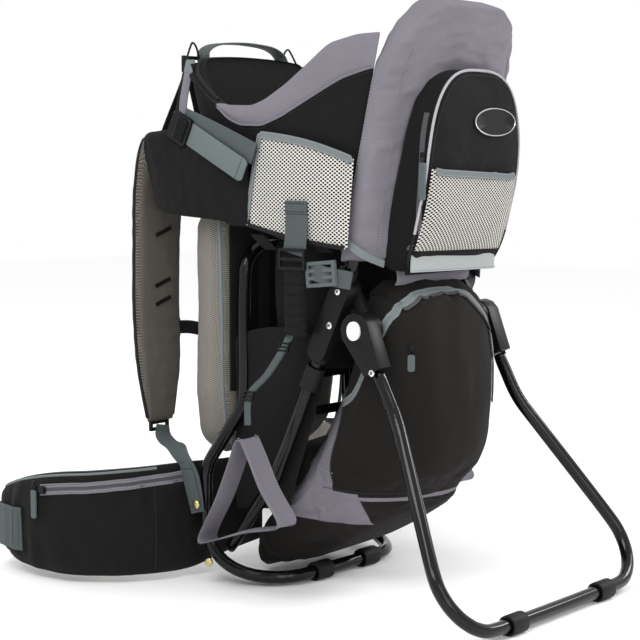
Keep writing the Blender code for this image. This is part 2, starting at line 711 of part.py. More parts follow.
def stirrups():
    """Each stirrup is a triangular webbing loop hung from a thin adjuster strap beside the frame."""
    for label, side in SIDES:
        corners = [(0.150, 0.232), (0.232, 0.066), (0.072, 0.112)]
        near, far = 0.1868, 0.2268
        outward, inward = 0.020, 0.048
        middle = (sum(y for y, _ in corners) / 3, sum(z for _, z in corners) / 3)
        outer = []
        inner = []
        for y, z in corners:
            outer.append((y + (y - middle[0]) * outward, z + (z - middle[1]) * outward))
            inner.append((y - (y - middle[0]) * inward, z - (z - middle[1]) * inward))
        low, high = span(side, near, far)
        rings = []
        for outline, at in ((outer, low), (outer, high), (inner, high), (inner, low)):
            rings.append([P(at, y, z) for y, z in outline])
        loft("stirrup_" + label, rings, LAVENDER_FABRIC, cyclic=True, smooth=False)
        strap = (
            (P(side * 0.1545, 0.118, 0.352), Vector((0, 1, 0.3)), 0.010, 0.002),
            (P(side * 0.1700, 0.140, 0.310), Vector((0, 1, 0.3)), 0.010, 0.002),
            (P(side * 0.1950, 0.156, 0.280), Vector((0, 1, 0)), 0.010, 0.002),
            (P(side * 0.2018, 0.152, 0.2380), Vector((0, 1, 0)), 0.010, 0.002),
        )
        ribbon("stirrup_strap_" + label, strap, GREY_WEBBING)


def seat_hangers():
    """The quilted sleeves that hang the seat from the cockpit wall, one on each side."""
    for label, side in SIDES:
        quilt = (
            (P(side * 0.1600, 0.118, 0.4780), Vector((0, 1, 0)), 0.034, 0.010),
            (P(side * 0.1600, 0.118, 0.4200), Vector((0, 1, 0)), 0.036, 0.012),
            (P(side * 0.1590, 0.118, 0.3600), Vector((0, 1, 0)), 0.034, 0.010),
        )
        ribbon("seat_hanger_" + label, quilt, BLACK_FABRIC)


def grab_handle():
    stations = []
    for x, z in ((-0.085, 0.7400), (-0.070, 0.7535), (-0.030, 0.7620), (0.030, 0.7620), (0.070, 0.7535), (0.085, 0.7400)):
        stations.append((P(x, 0.346, z), Vector((0, 1, 0)), 0.024, 0.003))
    ribbon("grab_handle", stations, GREY_WEBBING)


def main():
    for obj in list(bpy.data.objects):
        bpy.data.objects.remove(obj, do_unlink=True)
    frame_tubes()
    kickstand()
    feet()
    grips_and_bolts()
    back_panel()
    back_pad()
    yoke()
    straps()
    hip_belt()
    cockpit()
    child_seat()
    hood()
    daypack()
    storage_bag()
    mesh_pockets()
    stirrups()
    seat_hangers()
    grab_handle()


main()
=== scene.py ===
"""Baby carrier backpack: its cloth, webbing, hardware and finishes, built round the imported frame.

Metres, +X to the wearer's right, +Y the way the wearer faces, +Z up. Points are written with Y counted
forward from the plane of the kickstand hubs, and P() moves them into the frame's own Y.
"""

import json
import math

import bmesh
import bpy
from mathutils import Euler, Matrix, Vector, noise
from mathutils.bvhtree import BVHTree


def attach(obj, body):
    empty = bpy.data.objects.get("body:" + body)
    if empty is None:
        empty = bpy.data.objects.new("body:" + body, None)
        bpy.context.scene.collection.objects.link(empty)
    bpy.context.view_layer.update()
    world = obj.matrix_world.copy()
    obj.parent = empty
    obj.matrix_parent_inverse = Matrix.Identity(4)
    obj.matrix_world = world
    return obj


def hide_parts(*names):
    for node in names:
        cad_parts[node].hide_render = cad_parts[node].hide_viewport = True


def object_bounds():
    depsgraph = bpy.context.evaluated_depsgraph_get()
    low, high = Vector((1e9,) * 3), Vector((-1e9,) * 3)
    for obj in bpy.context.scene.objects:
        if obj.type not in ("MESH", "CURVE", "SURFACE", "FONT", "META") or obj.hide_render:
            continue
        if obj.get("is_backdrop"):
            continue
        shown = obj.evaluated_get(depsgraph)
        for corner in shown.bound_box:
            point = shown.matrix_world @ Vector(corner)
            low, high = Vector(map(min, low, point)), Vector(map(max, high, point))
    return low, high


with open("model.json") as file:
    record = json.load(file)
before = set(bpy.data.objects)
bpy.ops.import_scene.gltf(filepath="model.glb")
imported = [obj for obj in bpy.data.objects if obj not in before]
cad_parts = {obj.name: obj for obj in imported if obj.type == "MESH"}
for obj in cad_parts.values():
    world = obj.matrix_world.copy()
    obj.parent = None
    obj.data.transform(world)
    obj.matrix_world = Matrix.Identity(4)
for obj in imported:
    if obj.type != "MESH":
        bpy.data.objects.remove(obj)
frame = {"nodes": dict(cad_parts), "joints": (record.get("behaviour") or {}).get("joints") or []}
cad_low, cad_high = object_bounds()
joints = {joint["name"]: joint for joint in frame["joints"]}
HUB_Y = 0.0095
SHIFT_Y = joints["kickstand_fold"]["pos_m"][1] - HUB_Y
SIDES = (("left", -1), ("right", 1))
LAVENDER = (0.166, 0.156, 0.182)
X_AXIS = Vector((1, 0, 0))
Y_AXIS = Vector((0, 1, 0))
Z_AXIS = Vector((0, 0, 1))


def P(x, y, z):
    """A point, with Y counted from the hub plane."""
    return Vector((x, y + SHIFT_Y, z))


# ---------------------------------------------------------------- camera, lights and floor
def camera_and_studio():
    scene = bpy.context.scene
    camera = bpy.data.objects.new("camera", bpy.data.cameras.new("camera"))
    scene.collection.objects.link(camera)
    camera.location = P(-1.8333, -1.3504, 0.5970)
    camera.rotation_euler = Euler((math.radians(84.4455), 0, math.radians(-49.856)))
    camera.data.lens = 93.58
    camera.data.sensor_width = 36.0
    scene.camera = camera

    world = bpy.data.worlds.new("studio")
    world.use_nodes = True
    background = world.node_tree.nodes["Background"]
    background.inputs["Color"].default_value = (1.0, 1.0, 1.0, 1.0)
    background.inputs["Strength"].default_value = 1.0
    scene.world = world
    scene.view_settings.view_transform = "Standard"

    floor_mesh = bpy.data.meshes.new("floor")
    reach = 6.0
    corners = [(-reach, -reach, 0), (reach, -reach, 0), (reach, reach, 0), (-reach, reach, 0)]
    floor_mesh.from_pydata(corners, [], [(0, 1, 2, 3)])
    floor = bpy.data.objects.new("floor", floor_mesh)
    floor.location.z = -0.0005
    scene.collection.objects.link(floor)
    floor.data.materials.append(plain("floor_white", (0.96, 0.96, 0.96), 0.9).material)
    floor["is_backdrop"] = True

    target = Vector((0, 0, 0.40))
    lamps = (
        ("key", (-1.9, -0.4, 2.3), 1.3, 34.0),
        ("fill", (-0.9, -2.6, 1.3), 1.5, 20.0),
        ("rim", (1.9, -1.2, 1.7), 0.8, 26.0),
        ("front", (-0.5, 2.4, 1.6), 1.4, 6.0),
    )
    for name, place, size, power in lamps:
        light = bpy.data.lights.new(name, "AREA")
        light.size = size
        light.energy = power
        lamp = bpy.data.objects.new(name, light)
        lamp.location = place
        lamp.rotation_euler = (target - Vector(place)).to_track_quat("-Z", "Y").to_euler()
        scene.collection.objects.link(lamp)


# ---------------------------------------------------------------- materials
class Net:
    """A Principled material and short calls that add nodes to it."""

    def __init__(self, name, colour, roughness, metallic=0.0):
        self.material = bpy.data.materials.new(name)
        self.material.use_nodes = True
        self.material.diffuse_color = (*colour, 1.0)
        self.tree = self.material.node_tree
        self.shader = self.tree.nodes["Principled BSDF"]
        self.colour = colour
        self.set("Base Color", (*colour, 1.0))
        self.set("Roughness", roughness)
        self.set("Metallic", metallic)
        self.set("Specular IOR Level", 0.5 if metallic else 0.16)

    def set(self, socket, value):
        if isinstance(value, bpy.types.NodeSocket):
            self.tree.links.new(value, self.shader.inputs[socket])
        else:
            self.shader.inputs[socket].default_value = value

    def node(self, kind, inputs, output=0, **settings):
        made = self.tree.nodes.new(kind)
        for key, value in settings.items():
            setattr(made, key, value)
        for key, value in inputs.items():
            if isinstance(value, bpy.types.NodeSocket):
                self.tree.links.new(value, made.inputs[key])
            else:
                made.inputs[key].default_value = value
        return made.outputs[output]

    def math(self, operation, a, b=0.0):
        return self.node("ShaderNodeMath", {0: a, 1: b}, operation=operation)

    def along(self, direction, source="Object"):
        """How far a point lies along a direction, in metres, or along the piece's own U or V."""
        where = self.node("ShaderNodeTexCoord", {}, output=source)
        return self.node("ShaderNodeVectorMath", {0: where, 1: direction}, output="Value",
            operation="DOT_PRODUCT")

    def wave(self, distance, pitch):
        return self.math("SINE", self.math("MULTIPLY", distance, 2 * math.pi / pitch))

    def noise(self, scale, detail=3.0, source="Object"):
        where = self.node("ShaderNodeTexCoord", {}, output=source)
        return self.node("ShaderNodeTexNoise", {"Vector": where, "Scale": scale, "Detail": detail})

    def centred(self, value, amount):
        """A 0 to 1 value turned into a swing of plus or minus amount."""
        return self.math("MULTIPLY", self.math("SUBTRACT", value, 0.5), 2 * amount)

    def tint(self, colour, factor):
        return self.node("ShaderNodeVectorMath", {0: colour, "Scale": factor}, operation="SCALE")

    def mix(self, factor, a, b):
        return self.node("ShaderNodeMix", {"Factor": factor, 6: a, 7: b}, output=2, data_type="RGBA")

    def bump(self, height, strength, distance):
        self.set("Normal", self.node("ShaderNodeBump", {"Height": height, "Strength": strength,
            "Distance": distance}))


def plain(name, colour, roughness, metallic=0.0):
    return Net(name, colour, roughness, metallic)


def moulded(name, colour, roughness=0.42, metallic=0.0, grain=0.10, coat=0.0):
    """Moulded plastic, rubber or metal: a fine grain, slight blotches and uneven gloss."""
    net = Net(name, colour, roughness, metallic)
    blotch = net.noise(22.0)
    fine = net.noise(900.0, 2.0)
    net.set("Base Color", net.tint(colour, net.math("ADD", 1.0, net.centred(blotch, 0.10))))
    net.set("Roughness", net.math("ADD", roughness, net.centred(blotch, 0.06)))
    net.bump(fine, grain, 0.0003)
    if coat:
        net.set("Coat Weight", coat)
        net.set("Coat Roughness", 0.12)
    return net.material


def woven_net(name, colour, pitch=0.0011, bump=0.45, fade=0.12, sheen=0.02, roughness=0.90, rib=0.0):
    """Plain-woven polyester: crossing threads, a faint heavier thread each few millimetres, soft fading."""
    net = Net(name, colour, roughness)
    across = net.along((0.74, 0.67, 0.0))
    up = net.along((0.0, 0.0, 1.0))
    weave = net.math("MULTIPLY", net.wave(across, pitch), net.wave(up, pitch))
    rows = net.wave(net.along((0.05, 0.08, 1.0)), pitch * 3.1)
    blotch = net.noise(9.0, 5.0)
    slub = net.noise(420.0, 2.0)
    shade = net.math("ADD", net.centred(blotch, fade), net.centred(slub, 0.09))
    shade = net.math("ADD", shade, net.math("MULTIPLY", weave, 0.05))
    shade = net.math("ADD", shade, net.math("MULTIPLY", rows, 0.035 + rib))
    net.set("Base Color", net.tint(colour, net.math("ADD", 1.0, shade)))
    net.set("Roughness", net.math("ADD", roughness, net.centred(slub, 0.08)))
    net.set("Sheen Weight", sheen)
    net.set("Sheen Roughness", 0.45)
    net.bump(net.math("ADD", weave, net.math("MULTIPLY", slub, 1.4)), bump, 0.0004)
    return net


def woven(name, colour, **settings):
    return woven_net(name, colour, **settings).material


def netting(name, thread, hole, pitch, across=(1.0, 0.0, 0.0), share=0.30, slant=1.0, bump=0.6):
    """Open knitted mesh: staggered diamond holes between pale threads."""
    net = Net(name, thread, 0.88)
    side = net.along(across)
    up = net.along((0.0, 0.0, slant))
    first = net.math("ABSOLUTE", net.wave(net.math("ADD", side, up), 2 * pitch))
    second = net.math("ABSOLUTE", net.wave(net.math("SUBTRACT", side, up), 2 * pitch))
    cell = net.math("MULTIPLY", first, second)
    opening = net.node("ShaderNodeMapRange", {"Value": cell, "From Min": share, "From Max": share + 0.16})
    blotch = net.noise(16.0, 4.0)
    slub = net.noise(700.0, 2.0)
    shade = net.math("ADD", 1.0, net.math("ADD", net.centred(blotch, 0.08), net.centred(slub, 0.14)))
    net.set("Base Color", net.mix(opening, net.tint(thread, shade), (*hole, 1.0)))
    net.set("Sheen Weight", 0.02)
    net.bump(net.math("SUBTRACT", slub, net.math("MULTIPLY", opening, 2.2)), bump, 0.0006)
    return net.material


def webbing(name, colour, cross=0.0017, along=0.0013):
    """Ribbed webbing: fine ribs that cross the band and follow its own length, with painted shade in their
    grooves.
    """
    net = Net(name, colour, 0.72)
    u = net.along((1.0, 0.0, 0.0), "UV")
    v = net.along((0.0, 1.0, 0.0), "UV")
    ribs = net.math("MULTIPLY", net.wave(u, cross), net.wave(v, along))
    rows = net.wave(v, along * 2)
    blotch = net.noise(18.0, 4.0)
    slub = net.noise(520.0, 2.0)
    shade = net.math("ADD", net.centred(blotch, 0.07), net.centred(slub, 0.12))
    # Painted shade: the ribs and rows darken the colour in their grooves. The blotch and slub above are
    # random tone.
    shade = net.math("ADD", shade, net.math("MULTIPLY", ribs, 0.10))
    shade = net.math("ADD", shade, net.math("MULTIPLY", rows, 0.05))
    net.set("Base Color", net.tint(colour, net.math("ADD", 1.0, shade)))
    net.set("Sheen Weight", 0.02)
    net.bump(net.math("ADD", ribs, net.math("MULTIPLY", rows, 0.6)), 0.55, 0.0005)
    return net.material


def zip_teeth(name, colour):
    """A coil zip: small teeth that cross the tape."""
    net = Net(name, colour, 0.5)
    v = net.along((0.0, 1.0, 0.0), "UV")
    teeth = net.wave(v, 0.0016)
    net.set("Base Color", net.tint(colour, net.math("ADD", 1.0, net.math("MULTIPLY", teeth, 0.45))))
    net.bump(teeth, 0.9, 0.0006)
    return net.material


def make_materials():
    return {
        "tube": moulded("gloss_black_tube", (0.0030, 0.0030, 0.0034), 0.12, grain=0.01, coat=0.22),
        "plastic": moulded("black_plastic", (0.0045, 0.0048, 0.0055), 0.40, grain=0.16),
        "buckle": moulded("grey_green_plastic", (0.080, 0.095, 0.097), 0.36, grain=0.12),
        "rubber": moulded("black_rubber", (0.008, 0.008, 0.009), 0.55, grain=0.30),
        "brass": moulded("yellow_zinc", (0.62, 0.54, 0.26), 0.22, 1.0, grain=0.10),
        "chrome": moulded("bright_steel", (0.70, 0.70, 0.70), 0.14, 1.0, grain=0.08),
        "button": moulded("white_button", (0.78, 0.78, 0.77), 0.30, grain=0.05, coat=0.4),
        "black": woven("black_cloth", (0.0058, 0.0054, 0.0056)),
        "warm_black": woven("warm_black_cloth", (0.0066, 0.0060, 0.0058), rib=0.03),
        "lavender": woven("lavender_cloth", LAVENDER, fade=0.16),
        "pale_lavender": woven("pale_lavender_tape", (0.36, 0.345, 0.375), fade=0.06),
        "pocket_mesh": netting("pocket_mesh", (0.62, 0.61, 0.575), (0.012, 0.011, 0.010), 0.0050,
        (0.0, 0.70, 0.0)),
        "daypack_mesh": netting("daypack_mesh", (0.58, 0.565, 0.525), (0.012, 0.011, 0.010), 0.0046,
        (0.70, 0.2, 0.0)),
        "pad_mesh": netting("pad_mesh", (0.250, 0.235, 0.212), (0.075, 0.070, 0.062), 0.0022,
        (0.8, 0.6, 0.0), 0.40, 0.8),
        "strap_mesh": netting("strap_mesh", (0.125, 0.113, 0.098), (0.040, 0.036, 0.031), 0.0026,
        (0.9, 0.5, 0.0), 0.40, 0.6),
        "tape": woven("grey_binding_tape", (0.150, 0.170, 0.176), pitch=0.0009, fade=0.05),
        "pale_tape": woven("pale_grey_tape", (0.33, 0.35, 0.35), pitch=0.0009, fade=0.04),
        "webbing": webbing("grey_green_webbing", (0.068, 0.082, 0.084)),
        "pale_webbing": webbing("pale_green_webbing", (0.120, 0.147, 0.145)),
        "black_webbing": webbing("black_webbing", (0.010, 0.010, 0.011)),
        "zip": zip_teeth("grey_zip", (0.085, 0.085, 0.090)),
        "thread": moulded("grey_thread", (0.26, 0.27, 0.28), 0.8),
        "dark_thread": moulded("dark_thread", (0.030, 0.030, 0.034), 0.8),
        "seat": woven("seat_cloth", (0.0062, 0.0060, 0.0062)),
    }


# ---------------------------------------------------------------- geometry tools
def mesh_object(name, verts, faces, materials, picks=None, uvs=None, smooth=True):
    """A mesh with one material per face (picks) and, where given, one UV per face corner in metres."""
    data = bpy.data.meshes.new(name)
    data.from_pydata([tuple(v) for v in verts], [], faces)
    for material in materials:
        data.materials.append(material)
    for index, polygon in enumerate(data.polygons):
        polygon.use_smooth = smooth
        if picks:
            polygon.material_index = picks[index]
    if uvs:
        layer = data.uv_layers.new(name="metres")
        for loop in data.loops:
            layer.data[loop.index].uv = uvs[loop.vertex_index]
    obj = bpy.data.objects.new(name, data)
    bpy.context.scene.collection.objects.link(obj)
    return obj


def subdivide(obj, levels=1):
    modifier = obj.modifiers.new("smooth", "SUBSURF")
    modifier.levels = levels
    modifier.render_levels = levels
    return obj


def catmull(values, t):
    """A smooth curve through a list of vectors or numbers, t running from 0 to len - 1."""
    last = len(values) - 1
    i = min(int(t), last - 1)
    f = t - i
    a = values[max(i - 1, 0)]
    b = values[i]
    c = values[i + 1]
    d = values[min(i + 2, last)]
    return 0.5 * (2 * b + (c - a) * f + (2 * a - 5 * b + 4 * c - d) * f * f + (3 * b - a - 3 * c + d) * f
        * f * f)


def smooth_path(points, steps=6):
    last = len(points) - 1
    return [catmull(points, i / steps) for i in range(last * steps + 1)]


def lerp_rows(rows, x):
    """Linear reading of a list of (x, y) pairs that rise in x."""
    if x <= rows[0][0]:
        return rows[0][1]
    for (x0, y0), (x1, y1) in zip(rows, rows[1:]):
        if x <= x1:
            return y0 + (y1 - y0) * (x - x0) / (x1 - x0)
    return rows[-1][1]


def ease(rows, x):
    """lerp_rows with rounded steps, for soft outlines."""
    spread = 0.006
    return (lerp_rows(rows, x - spread) + 2 * lerp_rows(rows, x) + lerp_rows(rows, x + spread)) / 4


def crumple(point, size, amount, seed=0.0):
    """A soft wrinkle height at a point: ridged noise of one size."""
    shifted = (point + Vector((seed, seed * 0.7, -seed))) / size
    ridge = 1.0 - abs(noise.noise(shifted)) * 2.2
    fine = noise.noise(shifted * 2.3 + Vector((5.0, 1.0, 3.0)))
    return amount * (ridge * 0.7 + fine * 0.5)


def pad(name, surface, nu, nv, half, materials, pick=None, wrap_u=False, edge=0.12, wrinkle=None, levels=1,
    floor=0.0008):
    """A padded panel: surface(u, v) is its middle, half(u, v) half its thickness. It thins at its borders."""
    grid = [[surface(i / nu, j / nv) for j in range(nv + 1)] for i in range(nu + 1)]
    count_u = nu if wrap_u else nu + 1

    def normal(i, j):
        if wrap_u:
            before, after = grid[(i - 1) % nu][j], grid[(i + 1) % nu][j]
        else:
            before, after = grid[max(i - 1, 0)][j], grid[min(i + 1, nu)][j]
        low, high = grid[i][max(j - 1, 0)], grid[i][min(j + 1, nv)]
        return (after - before).cross(high - low).normalized()

    def border(t):
        near = min(t, 1 - t) / edge
        return math.sqrt(max(0.0, 1 - (1 - min(near, 1.0)) ** 2))

    verts = []
    for side in (1, -1):
        for i in range(count_u):
            for j in range(nv + 1):
                u, v = i / nu, j / nv
                swell = border(v) * (1.0 if wrap_u else border(u))
                height = floor + half(u, v) * swell
                out = normal(i, j)
                point = grid[i][j]
                if wrinkle:
                    height += wrinkle(point, side) * swell
                verts.append(point + out * height * side)
    sheet = count_u * (nv + 1)

    def index(i, j, side):
        return (0 if side > 0 else sheet) + (i % count_u) * (nv + 1) + j

    faces = []
    picks = []
    span_u = nu
    for i in range(span_u):
        for j in range(nv):
            u, v = (i + 0.5) / nu, (j + 0.5) / nv
            faces.append((index(i, j, 1), index(i + 1, j, 1), index(i + 1, j + 1, 1), index(i, j + 1, 1)))
            picks.append(pick(u, v, 1) if pick else 0)
            faces.append((index(i, j, -1), index(i, j + 1, -1), index(i + 1, j + 1, -1), index(i + 1, j, -1)))
            picks.append(pick(u, v, -1) if pick else 0)
    for i in range(span_u):
        for j, flip in ((0, True), (nv, False)):
            quad = [index(i, j, 1), index(i + 1, j, 1), index(i + 1, j, -1), index(i, j, -1)]
            faces.append(tuple(quad[::-1] if flip else quad)[::-1])
            u = (i + 0.5) / nu
            picks.append(pick(u, j / nv, 1) if pick else 0)
    if not wrap_u:
        for j in range(nv):
            for i, flip in ((0, False), (nu, True)):
                quad = [index(i, j, 1), index(i, j + 1, 1), index(i, j + 1, -1), index(i, j, -1)]
                faces.append(tuple(quad[::-1] if flip else quad)[::-1])
                picks.append(pick(i / nu, (j + 0.5) / nv, 1) if pick else 0)
    obj = mesh_object(name, verts, faces, materials, picks)
    fix_normals(obj)
    if levels:
        subdivide(obj, levels)
    return obj


def fix_normals(obj):
    bm = bmesh.new()
    bm.from_mesh(obj.data)
    bmesh.ops.recalc_face_normals(bm, faces=bm.faces)
    bm.to_mesh(obj.data)
    bm.free()


def frames_along(path, across):
    """Tangent, width direction and normal at each point of a path; across is one vector or one per point."""
    found = []
    for i, point in enumerate(path):
        tangent = (path[min(i + 1, len(path) - 1)] - path[max(i - 1, 0)]).normalized()
        wide = across[i] if isinstance(across, (list, tuple)) else across
        wide = (wide - tangent * wide.dot(tangent)).normalized()
        found.append((tangent, wide, tangent.cross(wide)))
    return found


class Build:
    """Collects ribbons, tubes, blocks and stitches, and makes one mesh of them."""

    def __init__(self):
        self.verts = []
        self.faces = []
        self.picks = []
        self.uvs = []
        self.materials = []
        self.flat = []

    def slot_of(self, material):
        if material not in self.materials:
            self.materials.append(material)
        return self.materials.index(material)

    def add(self, verts, faces, material, uvs=None, flat=False):
        start = len(self.verts)
        self.verts += verts
        self.uvs += uvs or [(0.0, 0.0)] * len(verts)
        pick = self.slot_of(material)
        for face in faces:
            self.faces.append(tuple(start + i for i in face))
            self.picks.append(pick)
            self.flat.append(flat)
        return self

    def ribbon(self, path, across, widths, material, thick=0.0014, lift=0.0):
        """A flat band along a path. widths is one number or one for each point."""
        verts = []
        uvs = []
        travelled = 0.0
        for i, (point, (_, wide, up)) in enumerate(zip(path, frames_along(path, across))):
            if i:
                travelled += (point - path[i - 1]).length
            w = (widths[i] if isinstance(widths, (list, tuple)) else widths) / 2
            t = thick / 2
            centre = point + up * lift
            for a, b in ((-w, -t * 0.4), (-w * 0.97, t), (0, t), (w * 0.97, t), (w, -t * 0.4),
                (w * 0.9, -t), (0, -t), (-w * 0.9, -t)):
                verts.append(centre + wide * a + up * b)
                uvs.append((a, travelled))
        n = 8
        faces = []
        for i in range(len(path) - 1):
            for k in range(n):
                faces.append((i * n + k, i * n + (k + 1) % n, (i + 1) * n + (k + 1) % n, (i + 1) * n + k))
        faces.append(tuple(range(n))[::-1])
        end = (len(path) - 1) * n
        faces.append(tuple(end + k for k in range(n)))
        return self.add(verts, faces, material, uvs)

    def tube(self, path, radius, material, sides=8, closed=False):
        verts = []
        uvs = []
        travelled = 0.0
        up = None
        for i, point in enumerate(path):
            if closed:
                tangent = (path[(i + 1) % len(path)] - path[i - 1]).normalized()
            else:
                tangent = (path[min(i + 1, len(path) - 1)] - path[max(i - 1, 0)]).normalized()
            up = (up - tangent * up.dot(tangent)).normalized() if up else tangent.orthogonal().normalized()
            wide = tangent.cross(up)
            if i:
                travelled += (point - path[i - 1]).length
            r = radius[i] if isinstance(radius, (list, tuple)) else radius
            for k in range(sides):
                angle = 2 * math.pi * k / sides
                verts.append(point + (up * math.cos(angle) + wide * math.sin(angle)) * r)
                uvs.append((r * angle, travelled))
        faces = []
        rows = len(path) if closed else len(path) - 1
        for i in range(rows):
            following = (i + 1) % len(path)
            for k in range(sides):
                faces.append((i * sides + k, i * sides + (k + 1) % sides,
                              following * sides + (k + 1) % sides, following * sides + k))
        if not closed:
            faces.append(tuple(range(sides))[::-1])
            end = (len(path) - 1) * sides
            faces.append(tuple(end + k for k in range(sides)))
        return self.add(verts, faces, material, uvs)

    def block(self, centre, right, up, size, material, corner=0.25, bulge=0.12):
        """A moulded block with rounded edges; size is along right, up and their normal."""
        right = right.normalized()
        up = (up - right * up.dot(right)).normalized()
        out = right.cross(up)
        half = [s / 2 for s in size]
        r = min(half[0], half[1]) * corner
        e = half[2] * bulge * 2
        outline = []
        for sx, sy, start in ((1, 1, 0), (-1, 1, 90), (-1, -1, 180), (1, -1, 270)):
            for step in range(4):
                angle = math.radians(start + 30 * step)
                outline.append((sx * (half[0] - r) + r * math.cos(angle),
                    sy * (half[1] - r) + r * math.sin(angle)))
        verts = []
        levels = ((-half[2], e), (-half[2] + e, 0.0), (half[2] - e, 0.0), (half[2], e))
        for depth, inset in levels:
            for x, y in outline:
                sx = x * (1 - inset / half[0])
                sy = y * (1 - inset / half[1])
                verts.append(centre + right * sx + up * sy + out * depth)
        n = len(outline)
        faces = []
        for level in range(len(levels) - 1):
            for k in range(n):
                faces.append((level * n + k, level * n + (k + 1) % n, (level + 1) * n + (k + 1) % n,
                    (level + 1) * n + k))
        faces.append(tuple(range(n))[::-1])
        top = (len(levels) - 1) * n
        faces.append(tuple(top + k for k in range(n)))
        return self.add(verts, faces, material)

    def screw(self, centre, out, radius, proud, material, dark, slots=2):
        """A pan-head screw with a cross recess."""
        out = out.normalized()
        side = out.orthogonal().normalized()
        up = out.cross(side)
        profile = ((0.0, radius), (proud * 0.55, radius), (proud * 0.9, radius * 0.75),
            (proud, radius * 0.35))
        verts = []
        n = 14
        for depth, r in profile:
            for k in range(n):
                angle = 2 * math.pi * k / n
                verts.append(centre + out * depth + (side * math.cos(angle) + up * math.sin(angle)) * r)
        faces = []
        for level in range(len(profile) - 1):
            for k in range(n):
                faces.append((level * n + k, level * n + (k + 1) % n, (level + 1) * n + (k + 1) % n,
                    (level + 1) * n + k))
        faces.append(tuple((len(profile) - 1) * n + k for k in range(n)))
        faces.append(tuple(range(n))[::-1])
        self.add(verts, faces, material)
        for arm in range(slots):
            way = side if arm == 0 else up
            self.block(centre + out * proud, way, out.cross(way), (radius * 1.1, radius * 0.26, 0.0004), dark)
        return self

    def stitches(self, path, outs, material, length=0.0026, gap=0.0017, size=0.00055):
        """Short thread stitches lying on a surface along a path; outs is the way out of the cloth."""
        step = length + gap
        travelled = 0.0
        nearest = 0.0
        for i in range(len(path) - 1):
            a, b = path[i], path[i + 1]
            long = (b - a).length
            if long < 1e-6:
                continue
            way = (b - a) / long
            out = outs[i] if isinstance(outs, (list, tuple)) else outs
            while nearest <= travelled + long:
                start = a + way * (nearest - travelled)
                wide = way.cross(out).normalized() * size
                lift = out.normalized() * size
                tail = start + way * length
                verts = [start - wide, start + lift, start + wide, tail - wide, tail + lift, tail + wide]
                self.add(verts, [(0, 1, 4, 3), (1, 2, 5, 4), (0, 2, 5, 3), (0, 2, 1), (3, 4, 5)], material)
                nearest += step
            travelled += long
        return self

    def finish(self, name, body, *replaced, slot=None):
        obj = mesh_object(name, self.verts, self.faces, self.materials, self.picks, self.uvs)
        for polygon, flat in zip(obj.data.polygons, self.flat):
            polygon.use_smooth = not flat
        obj.data.set_sharp_from_angle(angle=math.radians(38))
        return done(obj, body, *replaced, slot=slot)


def done(obj, body, *replaced, slot=None):
    if replaced:
        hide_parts(*replaced)
    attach(obj, body)
    return obj


def surface_of(obj):
    """A tree of an object's finished surface, for laying bindings and stitches on it."""
    bpy.context.view_layer.update()
    graph = bpy.context.evaluated_depsgraph_get()
    evaluated = obj.evaluated_get(graph)
    mesh = evaluated.to_mesh()
    matrix = evaluated.matrix_world.copy()
    verts = [matrix @ v.co for v in mesh.vertices]
    tree = BVHTree.FromPolygons(verts, [tuple(p.vertices) for p in mesh.polygons])
    evaluated.to_mesh_clear()
    return tree


def laid_on(tree, points, direction, lift):
    """Points dropped along a direction on to a surface, then lifted off it, with the way out at each."""
    found = []
    outs = []
    for point in points:
        hit, normal, _, _ = tree.ray_cast(point - direction * 0.12, direction)
        if hit is None:
            hit, normal, _, _ = tree.find_nearest(point)
        if normal.dot(direction) > 0:
            normal = -normal
        found.append(hit + normal * lift)
        outs.append(normal)
    return found, outs


def band_on(build, tree, points, direction, width, material, thick=0.0012, thread=None, closed=False):
    """A binding tape lying on a surface, with a row of stitches along each of its edges."""
    path, outs = laid_on(tree, points, direction, thick * 0.4)
    acrosses = []
    for i in range(len(path)):
        tangent = path[min(i + 1, len(path) - 1)] - path[max(i - 1, 0)]
        acrosses.append(outs[i].cross(tangent.normalized()))
    build.ribbon(path, acrosses, width, material, thick)
    if thread:
        for edge in (-0.36, 0.36):
            line = [p + a.normalized() * width * edge + o * thick * 0.5 for p, a, o in zip(path, acrosses,
                outs)]
            build.stitches(line, outs, thread)
    return path, outs


# ---------------------------------------------------------------- frame, hinges and feet
REAR_X = 0.1320
TUBES = ("front_frame_tube", "rear_frame_tube", "seat_cross_tube", "kickstand_tube")
ROUNDED = {
    "hinge_bracket": "plastic", "kickstand_socket": "plastic", "front_foot": "rubber", "rear_foot": "rubber",
    "tube_grip": "rubber", "press_button": "button", "hinge_pin": "chrome", "button_spring": "chrome",
    "lower_bolt": "brass", "upper_bolt": "brass", "hip_buckle": "plastic",
}


def finish_cad_nodes(look):
    """The rigid CAD nodes keep their own meshes, with soft edges and their own finishes."""
    for name, node in frame["nodes"].items():
        stem = name.replace("_left", "").replace("_right", "")
        key = "tube" if name in TUBES else ROUNDED.get(stem)
        if key is None:
            continue
        node.data.materials.clear()
        node.data.materials.append(look[key])
        for polygon in node.data.polygons:
            polygon.material_index = 0
            polygon.use_smooth = True
        weld = node.modifiers.new("weld", "WELD")
        weld.merge_threshold = 0.0001
        if name in TUBES:
            subdivide(node, 2)
            continue
        bevel = node.modifiers.new("edges", "BEVEL")
        bevel.width = 0.0011
        bevel.segments = 3
        bevel.limit_method = "ANGLE"
        bevel.angle_limit = math.radians(35)


